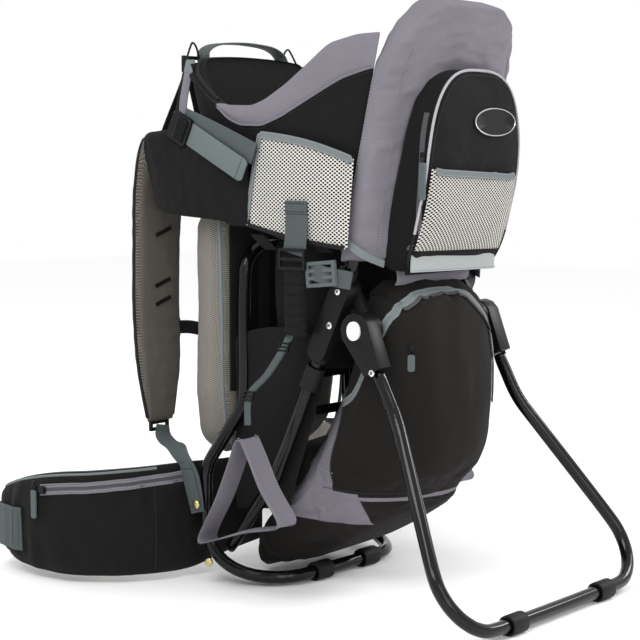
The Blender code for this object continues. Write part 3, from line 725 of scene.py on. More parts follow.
def hinge_details(look):
    """Screws and clamp collars on each hinge, and a screw on the kickstand beside it."""
    for label, side in SIDES:
        out = X_AXIS * side
        build = Build()
        for x, y, z in ((0.1466, 0.0420, 0.4220), (0.1466, 0.0560, 0.3760)):
            build.screw(P(side * x, y, z), out, 0.0048, 0.0016, look["chrome"], look["plastic"])
        for tilt, y, z in ((0.32, 0.0380, 0.4430), (-0.62, 0.0830, 0.3330)):
            axis = Vector((0, -tilt if tilt > 0 else 0.42, 1 if tilt > 0 else -1)).normalized()
            centre = P(side * REAR_X, y, z)
            path = [centre + axis * s for s in (-0.009, -0.007, 0.007, 0.009)]
            build.tube(path, [0.0118, 0.0134, 0.0134, 0.0118], look["plastic"], 20)
        build.finish("hinge_fittings_" + label, "frame", slot="black_plastic")

        moving = Build()
        y, z = -0.0204, 0.3190
        moving.screw(P(side * 0.1523, y, z), out, 0.0045, 0.0015, look["chrome"], look["plastic"])
        moving.finish("kick_screw_" + label, "kickstand", slot="steel_pin")


# ---------------------------------------------------------------- storage bag
BAG_SLIM = 0.975
BAG_ROWS = (
    (0.010, 0.074, 0.226, 0.240), (0.020, 0.088, 0.205, 0.244), (0.040, 0.098, 0.158, 0.242),
    (0.066, 0.104, 0.096, 0.231),
    (0.100, 0.107, 0.036, 0.200), (0.140, 0.109, -0.018, 0.170), (0.190, 0.111, -0.046, 0.130),
    (0.240, 0.111, -0.056, 0.106),
    (0.300, 0.110, -0.056, 0.087), (0.345, 0.108, -0.052, 0.073), (0.390, 0.102, -0.038, 0.058),
    (0.420, 0.088, -0.020, 0.045),
    (0.433, 0.070, -0.006, 0.034),
)


def bag_ring(t, count=64):
    z, half, rear, front = (catmull([row[k] for row in BAG_ROWS], t) for k in range(4))
    middle = (rear + front) / 2
    depth = (front - rear) / 2
    ring = []
    for k in range(count):
        angle = 2 * math.pi * k / count
        c, s = math.cos(angle), math.sin(angle)
        power = 2 / (2.35 if s < 0 else 4.0)
        x = half * BAG_SLIM * math.copysign(abs(c) ** power, c)
        y = middle + depth * math.copysign(abs(s) ** power, s)
        ring.append(P(x, y, z))
    return ring


def shell(name, rings, materials, pick=None, levels=1):
    """A closed body lofted through rings of equal count, with its ends closed."""
    count = len(rings[0])
    verts = [point for ring in rings for point in ring]
    faces = []
    picks = []
    for i in range(len(rings) - 1):
        for k in range(count):
            quad = (i * count + k, i * count + (k + 1) % count, (i + 1) * count + (k + 1) % count,
                (i + 1) * count + k)
            faces.append(quad)
            middle = sum((verts[q] for q in quad), Vector()) / 4
            picks.append(pick(middle) if pick else 0)
    for ring_index, ends in ((0, True), (len(rings) - 1, False)):
        start = ring_index * count
        centre = sum(rings[ring_index], Vector()) / count
        verts.append(centre)
        tip = len(verts) - 1
        for k in range(count):
            face = (start + k, start + (k + 1) % count, tip)
            faces.append(face[::-1] if ends else face)
            picks.append(pick(centre) if pick else 0)
    obj = mesh_object(name, verts, faces, materials, picks)
    fix_normals(obj)
    if levels:
        subdivide(obj, levels)
    return obj


def two_tone_bag():
    """Warm black cloth, with a lavender gusset forward of the rear panel and a lavender band under it."""
    net = woven_net("bag_cloth", (0.0088, 0.0076, 0.0068), rib=0.03)
    forward = net.along((0.0, 1.0, 0.060))
    depth = net.along((0.0, 1.0, 0.0))
    down = net.along((0.0, 0.0, -1.0))

    def beyond(value, limit):
        return net.node("ShaderNodeMapRange", {"Value": value, "From Min": limit - 0.0003,
            "From Max": limit + 0.0003})

    gusset = net.math("MULTIPLY", beyond(forward, 0.0925 + SHIFT_Y), beyond(down, -0.310))
    low = net.math("MULTIPLY", beyond(down, -0.1440), beyond(depth, 0.0400 + SHIFT_Y))
    band = net.math("MULTIPLY", beyond(down, -0.1400), beyond(net.math("MULTIPLY", down, -1.0), 0.1345))
    above_foot = net.math("MAXIMUM", beyond(net.math("MULTIPLY", down, -1.0), 0.0965), 0.0)
    mask = net.math("MULTIPLY", net.math("MAXIMUM", net.math("MAXIMUM", gusset, low), band), above_foot)
    black = net.shader.inputs["Base Color"].links[0].from_socket
    blotch = net.noise(9.0, 5.0)
    slub = net.noise(420.0, 2.0)
    shade = net.math("ADD", 1.0, net.math("ADD", net.centred(blotch, 0.09), net.centred(slub, 0.09)))
    net.set("Base Color", net.mix(mask, black, net.tint(LAVENDER, shade)))
    return net.material


def storage_bag(look):
    count = 40
    rings = [bag_ring(t * (len(BAG_ROWS) - 1) / count) for t in range(count + 1)]
    for ring in rings:
        for k, point in enumerate(ring):
            out = Vector((point.x, 0, 0)) * 6 + Vector((0, point.y - SHIFT_Y - 0.05, 0)) * 4
            out = out.normalized() if out.length > 0 else X_AXIS
            stretched = Vector((point.x, point.y, point.z * 0.62))
            ring[k] = point + out * (crumple(stretched, 0.060, 0.0036, 3.0) + crumple(point, 0.022, 0.0012,
                9.0))
    bag = shell("bag_body", rings, [two_tone_bag()])
    puff(bag, 0.0055, 3.2, 0.009, lambda p: min(abs(p.z - 0.147), abs(p.z - 0.425), abs(p.z - 0.012)) < 0.006)
    done(bag, "frame", "storage_bag", slot="black_fabric")

    tree = surface_of(bag)
    trim = Build()
    arch = [(-0.1055, 0.0100, 0.3480), (-0.1041, 0.0006, 0.3636), (-0.1011, -0.0054, 0.3757),
        (-0.0830, -0.0164, 0.4004),
            (-0.0418, -0.0220, 0.4154), (-0.0007, -0.0236, 0.4171), (0.0343, -0.0288, 0.4056),
            (0.0574, -0.0346, 0.3864),
            (0.0720, -0.0330, 0.3600), (0.0760, -0.0330, 0.3200), (0.0770, -0.0340, 0.2600)]
    spots = []
    outs = []
    for point in smooth_path([P(*point) for point in arch], 7):
        hit, out, _, _ = tree.find_nearest(point)
        outward = point - P(0, 0.02, point.z)
        out = out if out.dot(outward) > 0 else -out
        spots.append(hit + out * 0.0012)
        outs.append(out)
    acrosses = [outs[i].cross((spots[min(i + 1, len(spots) - 1)] - spots[max(i - 1, 0)]).normalized())
        for i in range(len(spots))]
    trim.ribbon(spots, acrosses, 0.0125, look["tape"], 0.0016)
    for edge in (-0.32, 0.32):
        line = [s + a.normalized() * 0.0125 * edge + o * 0.0009 for s, a, o in zip(spots, acrosses, outs)]
        trim.stitches(line, outs, look["thread"])
    teeth = [s - a.normalized() * 0.0085 + o * 0.0006 for s, a, o in zip(spots, acrosses, outs)]
    trim.ribbon(teeth[20:], acrosses[20:], 0.0052, look["zip"], 0.0018)

    opening = smooth_path([P(-0.12, y, z) for y, z in ((0.0780, 0.2630), (0.0640, 0.2690), (0.0490, 0.2780),
        (0.0374, 0.2927), (0.0270, 0.3130))], 8)
    band_on(trim, tree, opening, X_AXIS, 0.011, look["tape"], 0.0016, look["thread"])
    mirrored = [Vector((-p.x, p.y, p.z)) for p in opening]
    band_on(trim, tree, mirrored, -X_AXIS, 0.011, look["tape"], 0.0016, look["thread"])
    for side in (-1, 1):
        seam = [P(side * 0.12, y, 0.1470) for y in (0.10, 0.06, 0.02, -0.02)]
        path, outs = laid_on(tree, smooth_path(seam, 10), X_AXIS * -side, 0.0006)
        trim.stitches(path, outs, look["dark_thread"])
        seam = [P(side * 0.12, y, z) for y, z in ((0.138, 0.178), (0.105, 0.173), (0.080, 0.170))]
        path, outs = laid_on(tree, smooth_path(seam, 10), X_AXIS * -side, 0.0006)
        trim.stitches(path, outs, look["thread"])
        edge = smooth_path([P(side * 0.12, y, z) for y, z in ((0.0755, 0.262), (0.0790, 0.21),
            (0.0815, 0.155))], 10)
        path, outs = laid_on(tree, edge, X_AXIS * -side, 0.0006)
        trim.tube(path, 0.0013, look["dark_thread"], 6)
    trim.finish("bag_trim", "frame", slot="grey_webbing")


def puff(obj, voxel, pressure, cap, held):
    """Swells a closed cloth body by simulation, holding its seams, and keeps the result as its mesh."""
    for modifier in list(obj.modifiers):
        obj.modifiers.remove(modifier)
    remesh = obj.modifiers.new("remesh", "REMESH")
    remesh.mode = "VOXEL"
    remesh.voxel_size = voxel
    apply_modifiers(obj)
    start = [v.co.copy() for v in obj.data.vertices]
    group = obj.vertex_groups.new(name="seams")
    group.add([v.index for v in obj.data.vertices if held(v.co)], 1.0, "REPLACE")
    cloth = obj.modifiers.new("cloth", "CLOTH")
    settings = cloth.settings
    settings.use_pressure = True
    settings.uniform_pressure_force = pressure
    settings.vertex_group_mass = "seams"
    settings.mass = 0.25
    settings.tension_stiffness = 18
    settings.compression_stiffness = 18
    settings.shear_stiffness = 6
    settings.bending_stiffness = 0.35
    settings.shrink_min = -0.06
    settings.quality = 5
    settings.effector_weights.gravity = 0
    scene = bpy.context.scene
    scene.frame_start = 1
    scene.frame_end = 20
    cloth.point_cache.frame_end = 20
    for step in range(1, 21):
        scene.frame_set(step)
    apply_modifiers(obj)
    scene.frame_set(1)
    for vertex, before in zip(obj.data.vertices, start):
        move = vertex.co - before
        if move.length > cap:
            vertex.co = before + move * (cap / move.length)
    for polygon in obj.data.polygons:
        polygon.use_smooth = True
    return subdivide(obj, 1)


def apply_modifiers(obj):
    graph = bpy.context.evaluated_depsgraph_get()
    made = bpy.data.meshes.new_from_object(obj.evaluated_get(graph))
    for modifier in list(obj.modifiers):
        obj.modifiers.remove(modifier)
    obj.data = made


# ---------------------------------------------------------------- hood and daypack
REAR_SLOPE = (-0.040 - 0.038) / (0.770 - 0.430)


def tube_y(z):
    return 0.038 + (z - 0.430) * REAR_SLOPE


HOOD_HALF, HOOD_TOP, HOOD_LOW = 0.1455, 0.806, 0.458


def hood_half_width(z):
    """The hood's half width at a height, rounded over at the top."""
    corner = 0.115
    if z <= HOOD_TOP - corner:
        return HOOD_HALF
    drop = min(1.0, (z - (HOOD_TOP - corner)) / corner)
    return HOOD_HALF - corner + corner * math.sqrt(max(0.0, 1 - drop * drop))


def hood(look):
    front_gap = 0.0165

    def rear_gap(x, z):
        """How far behind the rear tube's line the hood's back lies, hugging the tube at each side."""
        tube_x = 0.132 - 0.012 * (z - 0.430) / 0.340
        fuller = 0.010 * max(0.0, (0.56 - z) / 0.10)
        rows = ((0.0, -0.0310), (0.055, -0.0290), (0.085, -0.0245 - fuller),
            (tube_x - 0.018, -0.0180 - fuller), (tube_x, -0.0125),
                (tube_x + 0.0085, -0.0060), (0.1460, 0.0040))
        return ease(rows, x)

    def place(u, v):
        eased = 1 - (1 - v) ** 1.15
        z = HOOD_LOW + 0.003 + (HOOD_TOP - 0.0035 - HOOD_LOW) * eased
        return (2 * u - 1) * (hood_half_width(z) - 0.001), z

    def surface(u, v):
        x, z = place(u, v)
        return P(x, tube_y(z) + (front_gap + rear_gap(abs(x), z)) / 2, z)

    def half(u, v):
        x, z = place(u, v)
        return (front_gap - rear_gap(abs(x), z)) / 2

    def wrinkle(point, side):
        stretched = Vector((point.x * 0.8, point.y, point.z * 1.3))
        fold = Vector((point.x * 0.45 + point.z * 0.6, point.y, point.z * 1.5 - point.x * 0.5))
        return crumple(stretched, 0.050, 0.0030, 1.0) + crumple(fold, 0.030, 0.0028, 3.0) + crumple(point,
            0.017, 0.0009, 7.0)

    def pick(u, v, side):
        return 1 if side < 0 and 0.03 < u < 0.97 else 0

    body = pad("hood_cover", surface, 52, 70, half, [look["lavender"], look["black"]], pick, edge=0.035,
        wrinkle=wrinkle)
    done(body, "frame", "hood", slot="lavender_fabric")
    tree = surface_of(body)
    trim = Build()
    for side in (-1, 1):
        line = [P(side * (hood_half_width(z) - 0.0300), -0.09, z) for z in (0.47, 0.52, 0.57, 0.62, 0.66,
            0.70, 0.735)]
        path, outs = laid_on(tree, smooth_path(line, 8), Y_AXIS, 0.0004)
        trim.stitches(path, outs, look["thread"])
        path, outs = laid_on(tree, [p + X_AXIS * side * 0.0018 for p in path], Y_AXIS, 0.0002)
        trim.tube(path, 0.0011, look["lavender"], 6)
        sleeve_line = [P(side * 0.16, tube_y(z) + 0.0095, z) for z in (0.475, 0.55, 0.62, 0.68, 0.73)]
        path, outs = laid_on(tree, smooth_path(sleeve_line, 8), X_AXIS * -side, 0.0004)
        trim.stitches(path, outs, look["thread"])
        tape = smooth_path([P(side * 0.1475, 0.0330, 0.4920), P(side * 0.1480, 0.0180, 0.4830),
            P(side * 0.1420, -0.0010, 0.4700),
                            P(side * 0.1200, -0.0150, 0.4590)], 6)
        trim.ribbon(tape, Vector((0, 0.5, 1)), 0.0105, look["tape"], 0.0016)
    skirt = [P(0, 0.0000, 0.4640), P(0, -0.0060, 0.4500), P(0, -0.0080, 0.4360), P(0, -0.0040, 0.4290)]
    trim.ribbon(smooth_path(skirt, 4), X_AXIS, 0.165, look["lavender"], 0.0022)
    trim.finish("hood_trim", "frame", slot="lavender_fabric")


PACK_ROWS = ((0.446, -0.0300), (0.470, -0.0410), (0.490, -0.0490), (0.530, -0.0610), (0.575, -0.0700),
    (0.620, -0.0745), (0.690, -0.0780), (0.712, -0.0780))


def pack_edge_y(z):
    return ease(PACK_ROWS, z)


def pack_outline(scale=1.0, count=72, fullness=0.0):
    """The daypack's outline seen from behind: an arch over rounded lower corners, squarer with fullness."""
    half, low, top = 0.1045, 0.4475, 0.7120
    points = []
    for k in range(count):
        angle = 2 * math.pi * k / count
        c, s = math.cos(angle), math.sin(angle)
        power_x = 2 / (3.0 + fullness if s > 0 else 8.0)
        power_z = 2 / (2.7 + fullness if s > 0 else 8.0)
        x = half * math.copysign(abs(c) ** power_x, c)
        middle = 0.560
        reach = (top - middle) if s > 0 else (middle - low)
        z = middle + reach * math.copysign(abs(s) ** power_z, s)
        points.append((0.001 + x * scale, 0.575 + (z - 0.575) * scale))
    return points


def pack_face_y(x, z):
    """The crowned rear face of the daypack."""
    u = min(1.0, abs(x) / 0.104)
    v = min(1.0, abs(z - 0.575) / 0.135)
    crown = 0.0060 * (1 - u ** 4) * (1 - v ** 4)
    return pack_edge_y(z) - crown


def daypack(look):
    rings = []
    for depth in (0.0, 0.25, 0.5, 0.75, 1.0):
        ring = []
        for x, z in pack_outline(1.0 + 0.016 * math.sin(math.pi * depth), fullness=0.9 * (1 - depth)):
            front = tube_y(z) - 0.0200
            ring.append(P(x, front + (pack_edge_y(z) - front) * depth, z))
        rings.append(ring)
    for scale in (0.97, 0.92, 0.84, 0.72, 0.56, 0.38, 0.18):
        rings.append([P(x, pack_face_y(x, z), z) for x, z in pack_outline(scale)])
    for ring in rings:
        for k, point in enumerate(ring):
            ring[k] = point + Vector((0.3 * math.copysign(1, point.x), -1, 0)) * crumple(point, 0.040,
                0.0026, 4.0)
    body = shell("daypack_body", rings, [look["black"]])
    done(body, "frame", "daypack", slot="black_fabric")
    tree = surface_of(body)

    def mesh_edges(x, v):
        top = 0.5790 - 0.045 * x
        low = 0.4740 - 0.02 * x
        return low + (top - low) * v

    def mesh_surface(u, v):
        x = -0.0985 + 0.1975 * u
        z = mesh_edges(x, v)
        swell = 0.0045 * math.sin(math.pi * v) * (1 - (2 * u - 1) ** 6)
        return P(x, pack_face_y(x, z) - 0.0028 - swell, z)

    def mesh_wrinkle(point, side):
        return crumple(point, 0.030, 0.0006, 2.0)

    pocket = pad("daypack_mesh_pocket", mesh_surface, 40, 24, lambda u, v: 0.0006, [look["daypack_mesh"]],
                 wrinkle=mesh_wrinkle, edge=0.03)
    done(pocket, "frame", slot="pale_mesh")
    mesh_tree = surface_of(pocket)

    trim = Build()
    rim = [P(x, pack_edge_y(z) - 0.0006, z) for x, z in pack_outline(1.004)]
    trim.tube(rim[-1:] + rim[:38], 0.0019, look["pale_lavender"], 8)
    trim.tube(rim[37:] + rim[:1], 0.0018, look["black_webbing"], 8)
    inner = [P(x, pack_face_y(x, z) - 0.0022, z) for x, z in pack_outline(0.955)]
    trim.stitches(inner[1:36], -Y_AXIS, look["dark_thread"])
    top = [P(-0.099 + 0.198 * i / 30, -0.12, mesh_edges(-0.099 + 0.198 * i / 30, 1.0)) for i in range(31)]
    band_on(trim, mesh_tree, top, Y_AXIS, 0.0095, look["tape"], 0.0016, look["thread"])
    low = [P(-0.097 + 0.194 * i / 24, -0.12, 0.4600 - 0.02 * (-0.097 + 0.194 * i / 24)) for i in range(25)]
    path = [P(p.x, pack_face_y(p.x, p.z) - 0.0034, p.z) for p in low]
    trim.ribbon(path, Z_AXIS, 0.028, look["pale_tape"], 0.0016)
    for height in (0.0115, -0.0115):
        trim.stitches([p + Z_AXIS * height - Y_AXIS * 0.0009 for p in path], -Y_AXIS, look["thread"])
    bottom = [P(p.x, pack_edge_y(0.4480) - 0.0015, 0.4478) for p in low]
    trim.ribbon(bottom, Z_AXIS, 0.0075, look["black"], 0.0024)
    zip_line = [P(-0.13, y, z) for y, z in ((-0.050, 0.470), (-0.058, 0.520), (-0.063, 0.580),
        (-0.064, 0.620), (-0.066, 0.655))]
    path, outs = laid_on(tree, smooth_path(zip_line, 8), X_AXIS, 0.0008)
    acrosses = [out.cross(Z_AXIS) for out in outs]
    trim.ribbon(path, acrosses, 0.0075, look["zip"], 0.0014)
    trim.finish("daypack_trim", "frame", slot="lavender_fabric")

    badge = Build()
    plate = []
    centre_x, centre_z, half_wide, half_high = 0.033, 0.645, 0.0500, 0.0195
    for lift, grow in ((0.0, 1.0), (0.0024, 1.0), (0.0032, 0.965), (0.0032, 0.90), (0.0024, 0.87),
        (0.0024, 0.4)):
        ring = []
        for k in range(48):
            angle = 2 * math.pi * k / 48
            x = centre_x + half_wide * grow * math.cos(angle)
            z = centre_z + half_high * (grow if grow > 0.5 else grow * 0.9) * math.sin(angle)
            ring.append(P(x, -0.0808 - lift, z))
        plate.append(ring)
    verts = [p for ring in plate for p in ring]
    faces = []
    for i in range(len(plate) - 1):
        for k in range(48):
            faces.append((i * 48 + k, i * 48 + (k + 1) % 48, (i + 1) * 48 + (k + 1) % 48, (i + 1) * 48 + k))
    faces.append(tuple(range(5 * 48, 6 * 48)))
    badge.add(verts, faces, look["plastic"])
    rim = [P(centre_x + half_wide * 0.93 * math.cos(a), -0.0842, centre_z + half_high * 0.93 * math.sin(a))
           for a in (2 * math.pi * k / 60 for k in range(60))]
    badge.tube(rim, 0.0008, look["chrome"], 6, closed=True)
    badge.finish("badge", "frame", "blank_badge", slot="black_plastic")


# ---------------------------------------------------------------- cockpit
RIM_TOP = (
    (-0.045, 0.757), (-0.020, 0.758), (0.027, 0.757), (0.069, 0.748), (0.104, 0.720), (0.134, 0.698),
    (0.170, 0.678),
    (0.197, 0.669), (0.254, 0.671), (0.275, 0.684), (0.300, 0.708), (0.325, 0.728),
)
RIM_SEAM = (
    (-0.045, 0.728), (-0.020, 0.718), (0.035, 0.702), (0.104, 0.668), (0.134, 0.654), (0.170, 0.642),
    (0.212, 0.643),
    (0.235, 0.652), (0.252, 0.668), (0.275, 0.682), (0.300, 0.706), (0.325, 0.726),
)
COCKPIT_LOW = ((0.000, 0.474), (0.027, 0.475), (0.135, 0.484), (0.195, 0.502), (0.250, 0.503))


def front_y(z):
    return 0.2560 + (z - 0.500) * 0.3267


def cockpit_plan(s, z):
    """X and Y of the cockpit wall's middle at a height, s running from the left rear to the right rear."""
    half = 0.1420 - 0.020 * max(0.0, (z - 0.62) / 0.11) * max(0.0, 1 - abs(s - 0.5) / 0.22)
    rear = tube_y(z) + 0.012
    front = front_y(z)
    corner = 0.034
    side_long = front - corner - rear
    arc = corner * math.pi / 2
    across = 2 * (half - corner)
    total = 2 * side_long + 2 * arc + across
    d = s * total
    if d < side_long:
        return -half, rear + d
    d -= side_long
    if d < arc:
        angle = d / corner
        return -half + corner * (1 - math.cos(angle)), front - corner + corner * math.sin(angle)
    d -= arc
    if d < across:
        return -half + corner + d, front
    d -= across
    if d < arc:
        angle = d / corner
        return half - corner + corner * math.sin(angle), front - corner + corner * math.cos(angle)
    d -= arc
    return half, front - corner - d


def cockpit(look):
    seam_share = 0.62
    front_top = 0.733

    def heights(s):
        """The bottom, rim seam and top of the wall at a place along it."""
        middle_x, middle_y = cockpit_plan(s, 0.68)
        low_y = cockpit_plan(s, 0.49)[1]
        low = ease(COCKPIT_LOW, low_y)
        top = ease(RIM_TOP, middle_y)
        seam = ease(RIM_SEAM, middle_y)
        if abs(middle_x) < 0.125:
            share = min(1.0, (0.125 - abs(middle_x)) / 0.03)
            arch = front_top + 0.008 * (1 - (middle_x / 0.12) ** 2)
            top += (arch - top) * share
            seam = top - 0.002
        return low, min(seam, top - 0.002), top

    def surface(u, v):
        low, seam, top = heights(u)
        z = low + (seam - low) * v / seam_share if v < seam_share else seam + (top - seam) * (v
            - seam_share) / (1 - seam_share)
        x, y = cockpit_plan(u, z)
        puffed = 0.0
        if v < seam_share:
            puffed = -0.0030 * math.sin(math.pi * v / seam_share)
        return P(x - math.copysign(puffed, x) * min(1.0, abs(x) / 0.13), y, z)

    def half(u, v):
        if v > seam_share:
            w = (v - seam_share) / (1 - seam_share)
            return 0.0080 + 0.0030 * math.sin(math.pi * min(1.0, w * 1.1))
        return 0.0075

    def wrinkle(point, side):
        stretched = Vector((point.x, point.y * 0.9, point.z * 1.1))
        return crumple(stretched, 0.034, 0.0012, 2.0) + crumple(point, 0.014, 0.0005, 5.0)

    def pick(u, v, side):
        _, y = cockpit_plan(u, 0.68)
        return 1 if v > seam_share and y < 0.254 else 0

    wall = pad("cockpit_cover", surface, 130, 34, half, [look["black"], look["lavender"]], pick, edge=0.11,
        wrinkle=wrinkle)
    done(wall, "frame", "cockpit_wall", slot="black_fabric")
    tree = surface_of(wall)
    trim = Build()
    for side in (-1, 1):
        points = []
        for i in range(60):
            s = 0.004 + 0.36 * i / 59
            if side > 0:
                s = 1 - s
            _, seam, _ = heights(s)
            x, y = cockpit_plan(s, seam)
            if cockpit_plan(s, 0.68)[1] < 0.258:
                points.append(P(side * 0.20, y, seam))
        path, outs = laid_on(tree, points, X_AXIS * -side, 0.0012)
        trim.tube(path, 0.0017, look["lavender"], 8)
        lower = [p - Z_AXIS * 0.0050 for p in points]
        path, outs = laid_on(tree, lower, X_AXIS * -side, 0.0004)
        trim.stitches(path, outs, look["dark_thread"])
        lower_edge = []
        for i in range(40):
            s = 0.01 + 0.32 * i / 39
            if side > 0:
                s = 1 - s
            low, _, _ = heights(s)
            x, y = cockpit_plan(s, low)
            lower_edge.append(P(side * 0.20, y, low + 0.0075))
        band_on(trim, tree, lower_edge, X_AXIS * -side, 0.010, look["black_webbing"], 0.0014,
            look["dark_thread"])
    front_edge = []
    for i in range(50):
        s = 0.30 + 0.40 * i / 49
        _, _, top = heights(s)
        x, y = cockpit_plan(s, top)
        front_edge.append(P(x, y, top + 0.0012))
    trim.tube(front_edge, 0.0030, look["black_webbing"], 8)
    trim.finish("cockpit_trim", "frame", slot="black_fabric")
    for label, side in SIDES:
        corner = Build()
        edge = smooth_path([P(side * 0.1210, 0.3350, 0.7360), P(side * 0.1350, 0.3290, 0.7060),
            P(side * 0.1470, 0.3250, 0.6700),
                            P(side * 0.1520, 0.3180, 0.6400)], 6)
        corner.ribbon(edge, Vector((side * 0.3, 1, 0.2)), 0.012, look["lavender"], 0.0022)
        corner.ribbon(edge[:5], Vector((side * 0.3, 1, 0.2)), 0.0135, look["tape"], 0.0030)
        corner.finish("front_corner_binding_" + label, "frame", slot="lavender_fabric")


# ---------------------------------------------------------------- side pockets and their webbing
POCKET = ((0.1720, 0.6320), (0.0070, 0.5970), (0.0180, 0.4780), (0.1985, 0.5060))


def pocket_point(u, v):
    """Y and Z on the pocket, u from its front edge back, v from the bottom up."""
    top_front, top_rear, low_rear, low_front = POCKET
    y = (1 - v) * ((1 - u) * low_front[0] + u * low_rear[0]) + v * ((1 - u) * top_front[0] + u * top_rear[0])
    z = (1 - v) * ((1 - u) * low_front[1] + u * low_rear[1]) + v * ((1 - u) * top_front[1] + u * top_rear[1])
    z += 0.006 * math.sin(math.pi * u) * v - 0.004 * math.sin(math.pi * u) * (1 - v)
    return y, z


def side_pockets(look):
    for label, side in SIDES:
        def surface(u, v):
            y, z = pocket_point(u, v)
            bulge = 0.0052 * math.sin(math.pi * min(1.0, v * 1.05)) * math.sin(math.pi * u) ** 0.6
            return P(side * (0.1555 + bulge), y, z)

        def wrinkle(point, way):
            return crumple(point, 0.026, 0.0008, 3.0)

        mesh = pad("pocket_mesh_" + label, surface, 40, 26, lambda u, v: 0.0006, [look["pocket_mesh"]],
            wrinkle=wrinkle, edge=0.03)
        done(mesh, "frame", "side_pocket_" + label, slot="pale_mesh")
        tree = surface_of(mesh)
        trim = Build()
        into = X_AXIS * -side

        def edge_line(start, end, count=24):
            points = []
            for i in range(count + 1):
                t = i / count
                y, z = pocket_point(start[0] + (end[0] - start[0]) * t, start[1] + (end[1] - start[1]) * t)
                points.append(P(side * 0.20, y, z))
            return points

        band_on(trim, tree, edge_line((0.0, 0.975), (1.0, 0.975)), into, 0.0105, look["tape"], 0.0018,
            look["thread"])
        band_on(trim, tree, edge_line((0.018, 0.0), (0.018, 1.0)), into, 0.0095, look["tape"], 0.0018,
            look["thread"])
        band_on(trim, tree, edge_line((0.0, 0.018), (1.0, 0.018)), into, 0.0060, look["black_webbing"],
            0.0016)
        trim.finish("pocket_binding_" + label, "frame", slot="grey_webbing")

        strap = Build()
        x = side * 0.1640
        line = smooth_path([P(x, 0.0985, 0.540), P(x, 0.0985, 0.520), P(side * 0.1650, 0.0990, 0.490),
            P(side * 0.1640, 0.1030, 0.470)], 6)
        strap.ribbon(line, Y_AXIS, 0.038, look["webbing"], 0.0020)
        fold = [P(x + side * 0.0014, 0.0985, 0.541), P(x + side * 0.0014, 0.0985, 0.524)]
        strap.ribbon(fold, Y_AXIS, 0.038, look["webbing"], 0.0018)
        for z in (0.5375, 0.5265):
            across = [P(x + side * 0.0030, 0.0985 - 0.016 + 0.004 * i, z) for i in range(9)]
            strap.stitches(across, X_AXIS * side, look["dark_thread"])
        centre = P(side * 0.1665, 0.1045, 0.4630)
        for dz, height in ((0.0125, 0.0042), (0.0, 0.0046), (-0.0125, 0.0042)):
            strap.block(centre + Z_AXIS * dz, Y_AXIS, Z_AXIS, (0.044, height, 0.0042), look["plastic"], 0.6)
        for dy in (-0.0215, 0.0215):
            strap.block(centre + Y_AXIS * dy, Y_AXIS, Z_AXIS, (0.0042, 0.0290, 0.0044), look["plastic"], 0.6)
        strap.finish("pocket_strap_" + label, "frame", slot="grey_webbing")

        def quilt_surface(u, v):
            z = 0.4560 - 0.096 * u
            y = 0.1030 + (v - 0.5) * (0.036 + 0.002 * math.sin(u * 60))
            ridge = 0.0020 * abs(math.sin(u * math.pi * 7))
            return P(side * (0.1600 + ridge * 0.5), y, z)

        def quilt_half(u, v):
            return 0.0042 + 0.0020 * abs(math.sin(u * math.pi * 7))

        quilt = pad("seat_hanger_cover_" + label, quilt_surface, 42, 12, quilt_half, [look["black"]],
            edge=0.16)
        done(quilt, "frame", "seat_hanger_" + label, slot="black_fabric")

        lock = Build()
        centre = P(side * 0.1600, 0.0590, 0.4450)
        lean = Vector((0, 1, -0.10)).normalized()
        rise = Vector((0, 0.10, 1)).normalized()
        for dz, deep in ((0.0145, 0.0070), (0.0048, 0.0050), (-0.0048, 0.0050), (-0.0145, 0.0070)):
            lock.block(centre + rise * dz, lean, rise, (0.046, 0.0052, deep), look["buckle"], 0.6)
        for dy in (-0.0225, 0.0225):
            lock.block(centre + lean * dy, lean, rise, (0.0055, 0.0345, 0.0064), look["buckle"], 0.6)
        tail = smooth_path([P(side * 0.158, 0.079, 0.448), P(side * 0.1625, 0.062, 0.446),
            P(side * 0.157, 0.040, 0.441), P(side * 0.147, 0.018, 0.437)], 5)
        lock.ribbon(tail, rise, 0.024, look["webbing"], 0.0018)
        lock.finish("ladder_lock_" + label, "frame", slot="grey_webbing")


def compression_straps(look):
    """The side buckle in front of the pocket with its two webbing tails running back under the rim."""
    for label, side in SIDES:
        out = side * 0.0030
        lower = Build()
        base = 0.1665 * side
        path = smooth_path([P(base, 0.3180, 0.6440), P(base + out, 0.2925, 0.6320),
            P(base + out * 1.6, 0.2400, 0.6060),
                            P(base + out * 2.0, 0.1845, 0.5785)], 8)
        slope = (path[-1] - path[0]).normalized()
        across = slope.cross(X_AXIS * side)
        widths = [0.0325] * (len(path) - 2) + [0.0315, 0.0250]
        lower.ribbon(path, across, widths, look["pale_webbing"], 0.0020)
        end_line = [path[-3] + across * (0.004 * i - 0.014) + X_AXIS * side * 0.0013 for i in range(8)]
        lower.stitches(end_line, X_AXIS * side, look["dark_thread"])
        upper_path = smooth_path([P(base - out * 0.3, 0.3050, 0.6530), P(base - out * 0.2, 0.2600, 0.6370),
            P(base - out * 0.1, 0.2150, 0.6200),
                                  P(base, 0.1720, 0.6030)], 8)
        lower.ribbon(upper_path, across, 0.0300, look["webbing"], 0.0018)
        centre = P(base + out * 1.3, 0.3075, 0.6385)
        lower.block(centre, slope, across, (0.0400, 0.0400, 0.0080), look["plastic"], 0.30)
        lower.block(centre + X_AXIS * side * 0.0042 + slope * 0.004, slope, across,
            (0.0200, 0.0330, 0.0040), look["plastic"], 0.30)
        for i in range(4):
            ridge = centre + X_AXIS * side * 0.0064 + slope * (0.0105 - 0.0042 * i)
            lower.block(ridge, slope, across, (0.0014, 0.0300, 0.0012), look["plastic"], 0.5)
        lower.finish("compression_strap_" + label, "frame", slot="grey_webbing")


